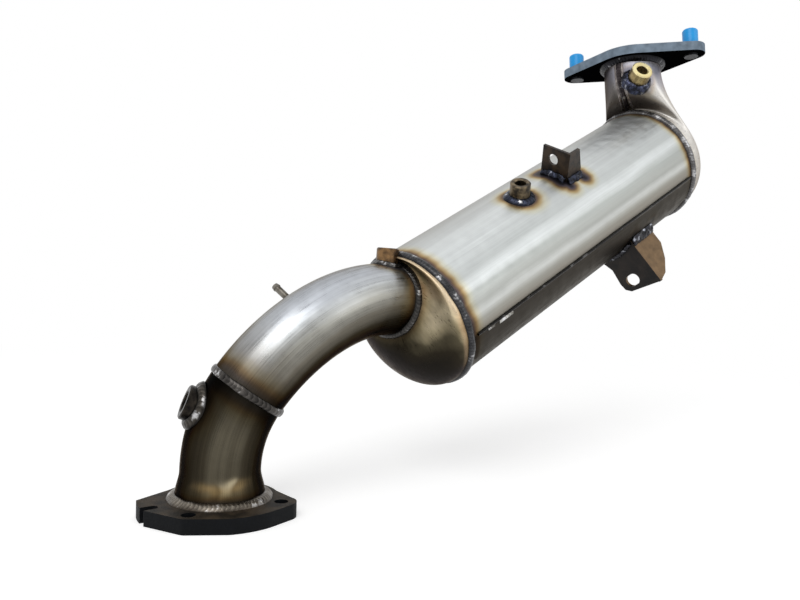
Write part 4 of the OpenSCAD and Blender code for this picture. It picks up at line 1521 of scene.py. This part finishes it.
@dataclass(frozen=True)
class Lamp:
    """A soft square lamp that looks at a point, in metres and watts."""

    name: str
    at: tuple[float, float, float]
    aim: tuple[float, float, float]
    size: float
    watts: float

    def build(self) -> None:
        """Sets the lamp with its Z axis pointing back from its aim."""
        data = bpy.data.lights.new(self.name, "AREA")
        data.size = self.size
        data.energy = self.watts
        lamp = bpy.data.objects.new(self.name, data)
        back = np.array(self.at, float) - np.array(self.aim, float)
        z = back / np.linalg.norm(back)
        x = np.cross([0.0, 0.0, 1.0], z)
        x /= np.linalg.norm(x)
        turn = Matrix(np.stack([x, np.cross(z, x), z], 1).tolist()).to_4x4()
        lamp.matrix_world = Matrix.Translation(self.at) @ turn
        bpy.context.collection.objects.link(lamp)


KEY = Lamp("key", (-0.9, -0.7, 1.6), (0.25, 0.0, 0.2), size=1.2, watts=12.0)
FILL = Lamp("fill", (0.9, -1.4, 0.9), (0.3, 0.0, 0.2), size=1.0, watts=3.0)
WHITE = (1, 1, 1, 1)


@dataclass(frozen=True)
class Studio:
    """Camera, light and floor.

    Attributes:
        focal_px, picture_px: Focal length and picture width, in pixels.
        sensor: Sensor width, in millimetres.
        pitch, roll, yaw: The camera's angles, in degrees.
        eye: The camera's place, in metres.
        soft: Level of the world's light where it isn't seen.
        floor_half: Half the floor's width, in metres.
        fade_from, fade_to: Distances over which the floor fades to white, in metres.
        cloth, lift: The floor's own colour and the light added where it is seen.
    """

    focal_px: float = 822.876
    picture_px: float = 800.0
    sensor: float = 36.0
    pitch: float = -3.0431
    roll: float = 1.5812
    yaw: float = 40.8716
    eye: tuple[float, float, float] = (-0.3169, -0.5781, 0.2061)
    soft: float = 0.55
    floor_half: float = 20.0
    fade_from: float = 0.5
    fade_to: float = 1.2
    cloth: float = 0.9
    lift: float = 0.42

    def camera(self) -> None:
        """The camera at the photograph's viewpoint."""
        p, r = math.radians(self.pitch), math.radians(self.roll)
        forward = np.array([0, math.cos(p), math.sin(p)])
        level = np.array([1.0, 0, 0])
        above = np.cross(level, forward)
        right = math.cos(r) * level + math.sin(r) * above
        up = -math.sin(r) * level + math.cos(r) * above
        heading = rot("Z", -self.yaw)
        axes = np.stack([heading @ right, heading @ up, heading @ -forward], 1)
        data = bpy.data.cameras.new("camera")
        data.sensor_width = self.sensor
        data.lens = self.focal_px * self.sensor / self.picture_px
        data.clip_start = 0.01
        data.clip_end = 60.0
        cam = bpy.data.objects.new("camera", data)
        cam.matrix_world = Matrix.Translation(self.eye) @ Matrix(axes.tolist()).to_4x4()
        bpy.context.collection.objects.link(cam)
        bpy.context.scene.camera = cam

    def world(self) -> None:
        """White where it is seen or mirrored, a soft grey light elsewhere."""
        world = bpy.data.worlds.new("studio")
        bpy.context.scene.world = world
        world.use_nodes = True
        tree = world.node_tree
        tree.nodes.clear()
        level = tree.nodes.new("ShaderNodeMapRange")
        tree.links.new(seen_rays(tree), level.inputs["Value"])
        level.inputs["To Min"].default_value = self.soft
        level.inputs["To Max"].default_value = 1.0
        back = tree.nodes.new("ShaderNodeBackground")
        tree.links.new(level.outputs[0], back.inputs["Strength"])
        back.inputs["Color"].default_value = WHITE
        out = tree.nodes.new("ShaderNodeOutputWorld")
        tree.links.new(back.outputs[0], out.inputs["Surface"])

    def floor(self) -> None:
        """A pale floor that fades to white far away."""
        h = self.floor_half
        mesh = bpy.data.meshes.new("floor")
        mesh.from_pydata([(-h, -h, 0), (h, -h, 0), (h, h, 0), (-h, h, 0)], [], [(0, 1, 2, 3)])
        obj = bpy.data.objects.new("floor", mesh)
        bpy.context.collection.objects.link(obj)
        n = Nodes("floor_pale")
        far = n.add("ShaderNodeVectorMath", i0=n.add("ShaderNodeTexCoord").outputs["Object"])
        far.operation = "LENGTH"
        seen = seen_rays(n.tree)
        fade = n.math("MULTIPLY", n.ramp(far.outputs["Value"], self.fade_from, self.fade_to), seen)
        cloth = n.add("ShaderNodeBsdfDiffuse", Color=(self.cloth, self.cloth, self.cloth, 1))
        lift = n.add("ShaderNodeEmission", Color=WHITE, Strength=n.math("MULTIPLY", seen, self.lift))
        near = n.add("ShaderNodeAddShader", i0=cloth.outputs[0], i1=lift.outputs[0])
        white = n.add("ShaderNodeEmission", Color=WHITE, Strength=1.0)
        blend = n.add("ShaderNodeMixShader", i0=fade, i1=near.outputs[0], i2=white.outputs[0])
        mesh.materials.append(n.done(blend.outputs[0]))

    def build(self) -> None:
        """Sets the whole stage."""
        bpy.context.scene.view_settings.view_transform = "Standard"
        self.camera()
        self.world()
        self.floor()
        KEY.build()
        FILL.build()


def main() -> None:
    """Builds the visual model and the studio and reports each piece.

    All welds are laid out before any wall is tinted, so that the heat map is complete.
    """
    logging.basicConfig(level=logging.INFO)
    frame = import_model()
    heat = HeatMap()
    cones = Cones(heat)
    welds = Welds(heat)
    welds.rings()
    welds.saddles()
    welds.hood_seams(cones)
    welds.lap_seam()
    welds.take_nodes(frame["nodes"])
    kept = KeptNodes(frame["nodes"])
    kept.paint()
    kept.round_edges()
    kept.make_lumpy()
    pipes = Pipes(heat)
    pipe = tinted_metal(PIPE_FINISH)
    cone = tinted_metal(CONE_FINISH)
    pieces = [
        pipes.lower().build(pipe, Slot.PIPE, ["lower_pipe"]),
        pipes.upper().build(pipe, Slot.PIPE, ["upper_pipe"]),
        Can(heat).surface().build(tinted_metal(CAN_FINISH), Slot.CAN, ["can_shell"]),
        cones.inlet().build(cone, Slot.CONE, ["inlet_cone"]),
        cones.outlet().build(cone, Slot.CONE, ["outlet_cone_near_half", "outlet_cone_far_half"]),
    ]
    pieces += welds.build(tinted_metal(WELD_FINISH))
    Studio().build()
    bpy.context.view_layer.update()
    for piece in pieces + [frame["nodes"][name] for name in PLAIN]:
        LOG.info("%s: %d faces, %s", piece.name, len(piece.data.polygons), piece.data.materials[0].name)


if __name__ == "__main__":
    main()
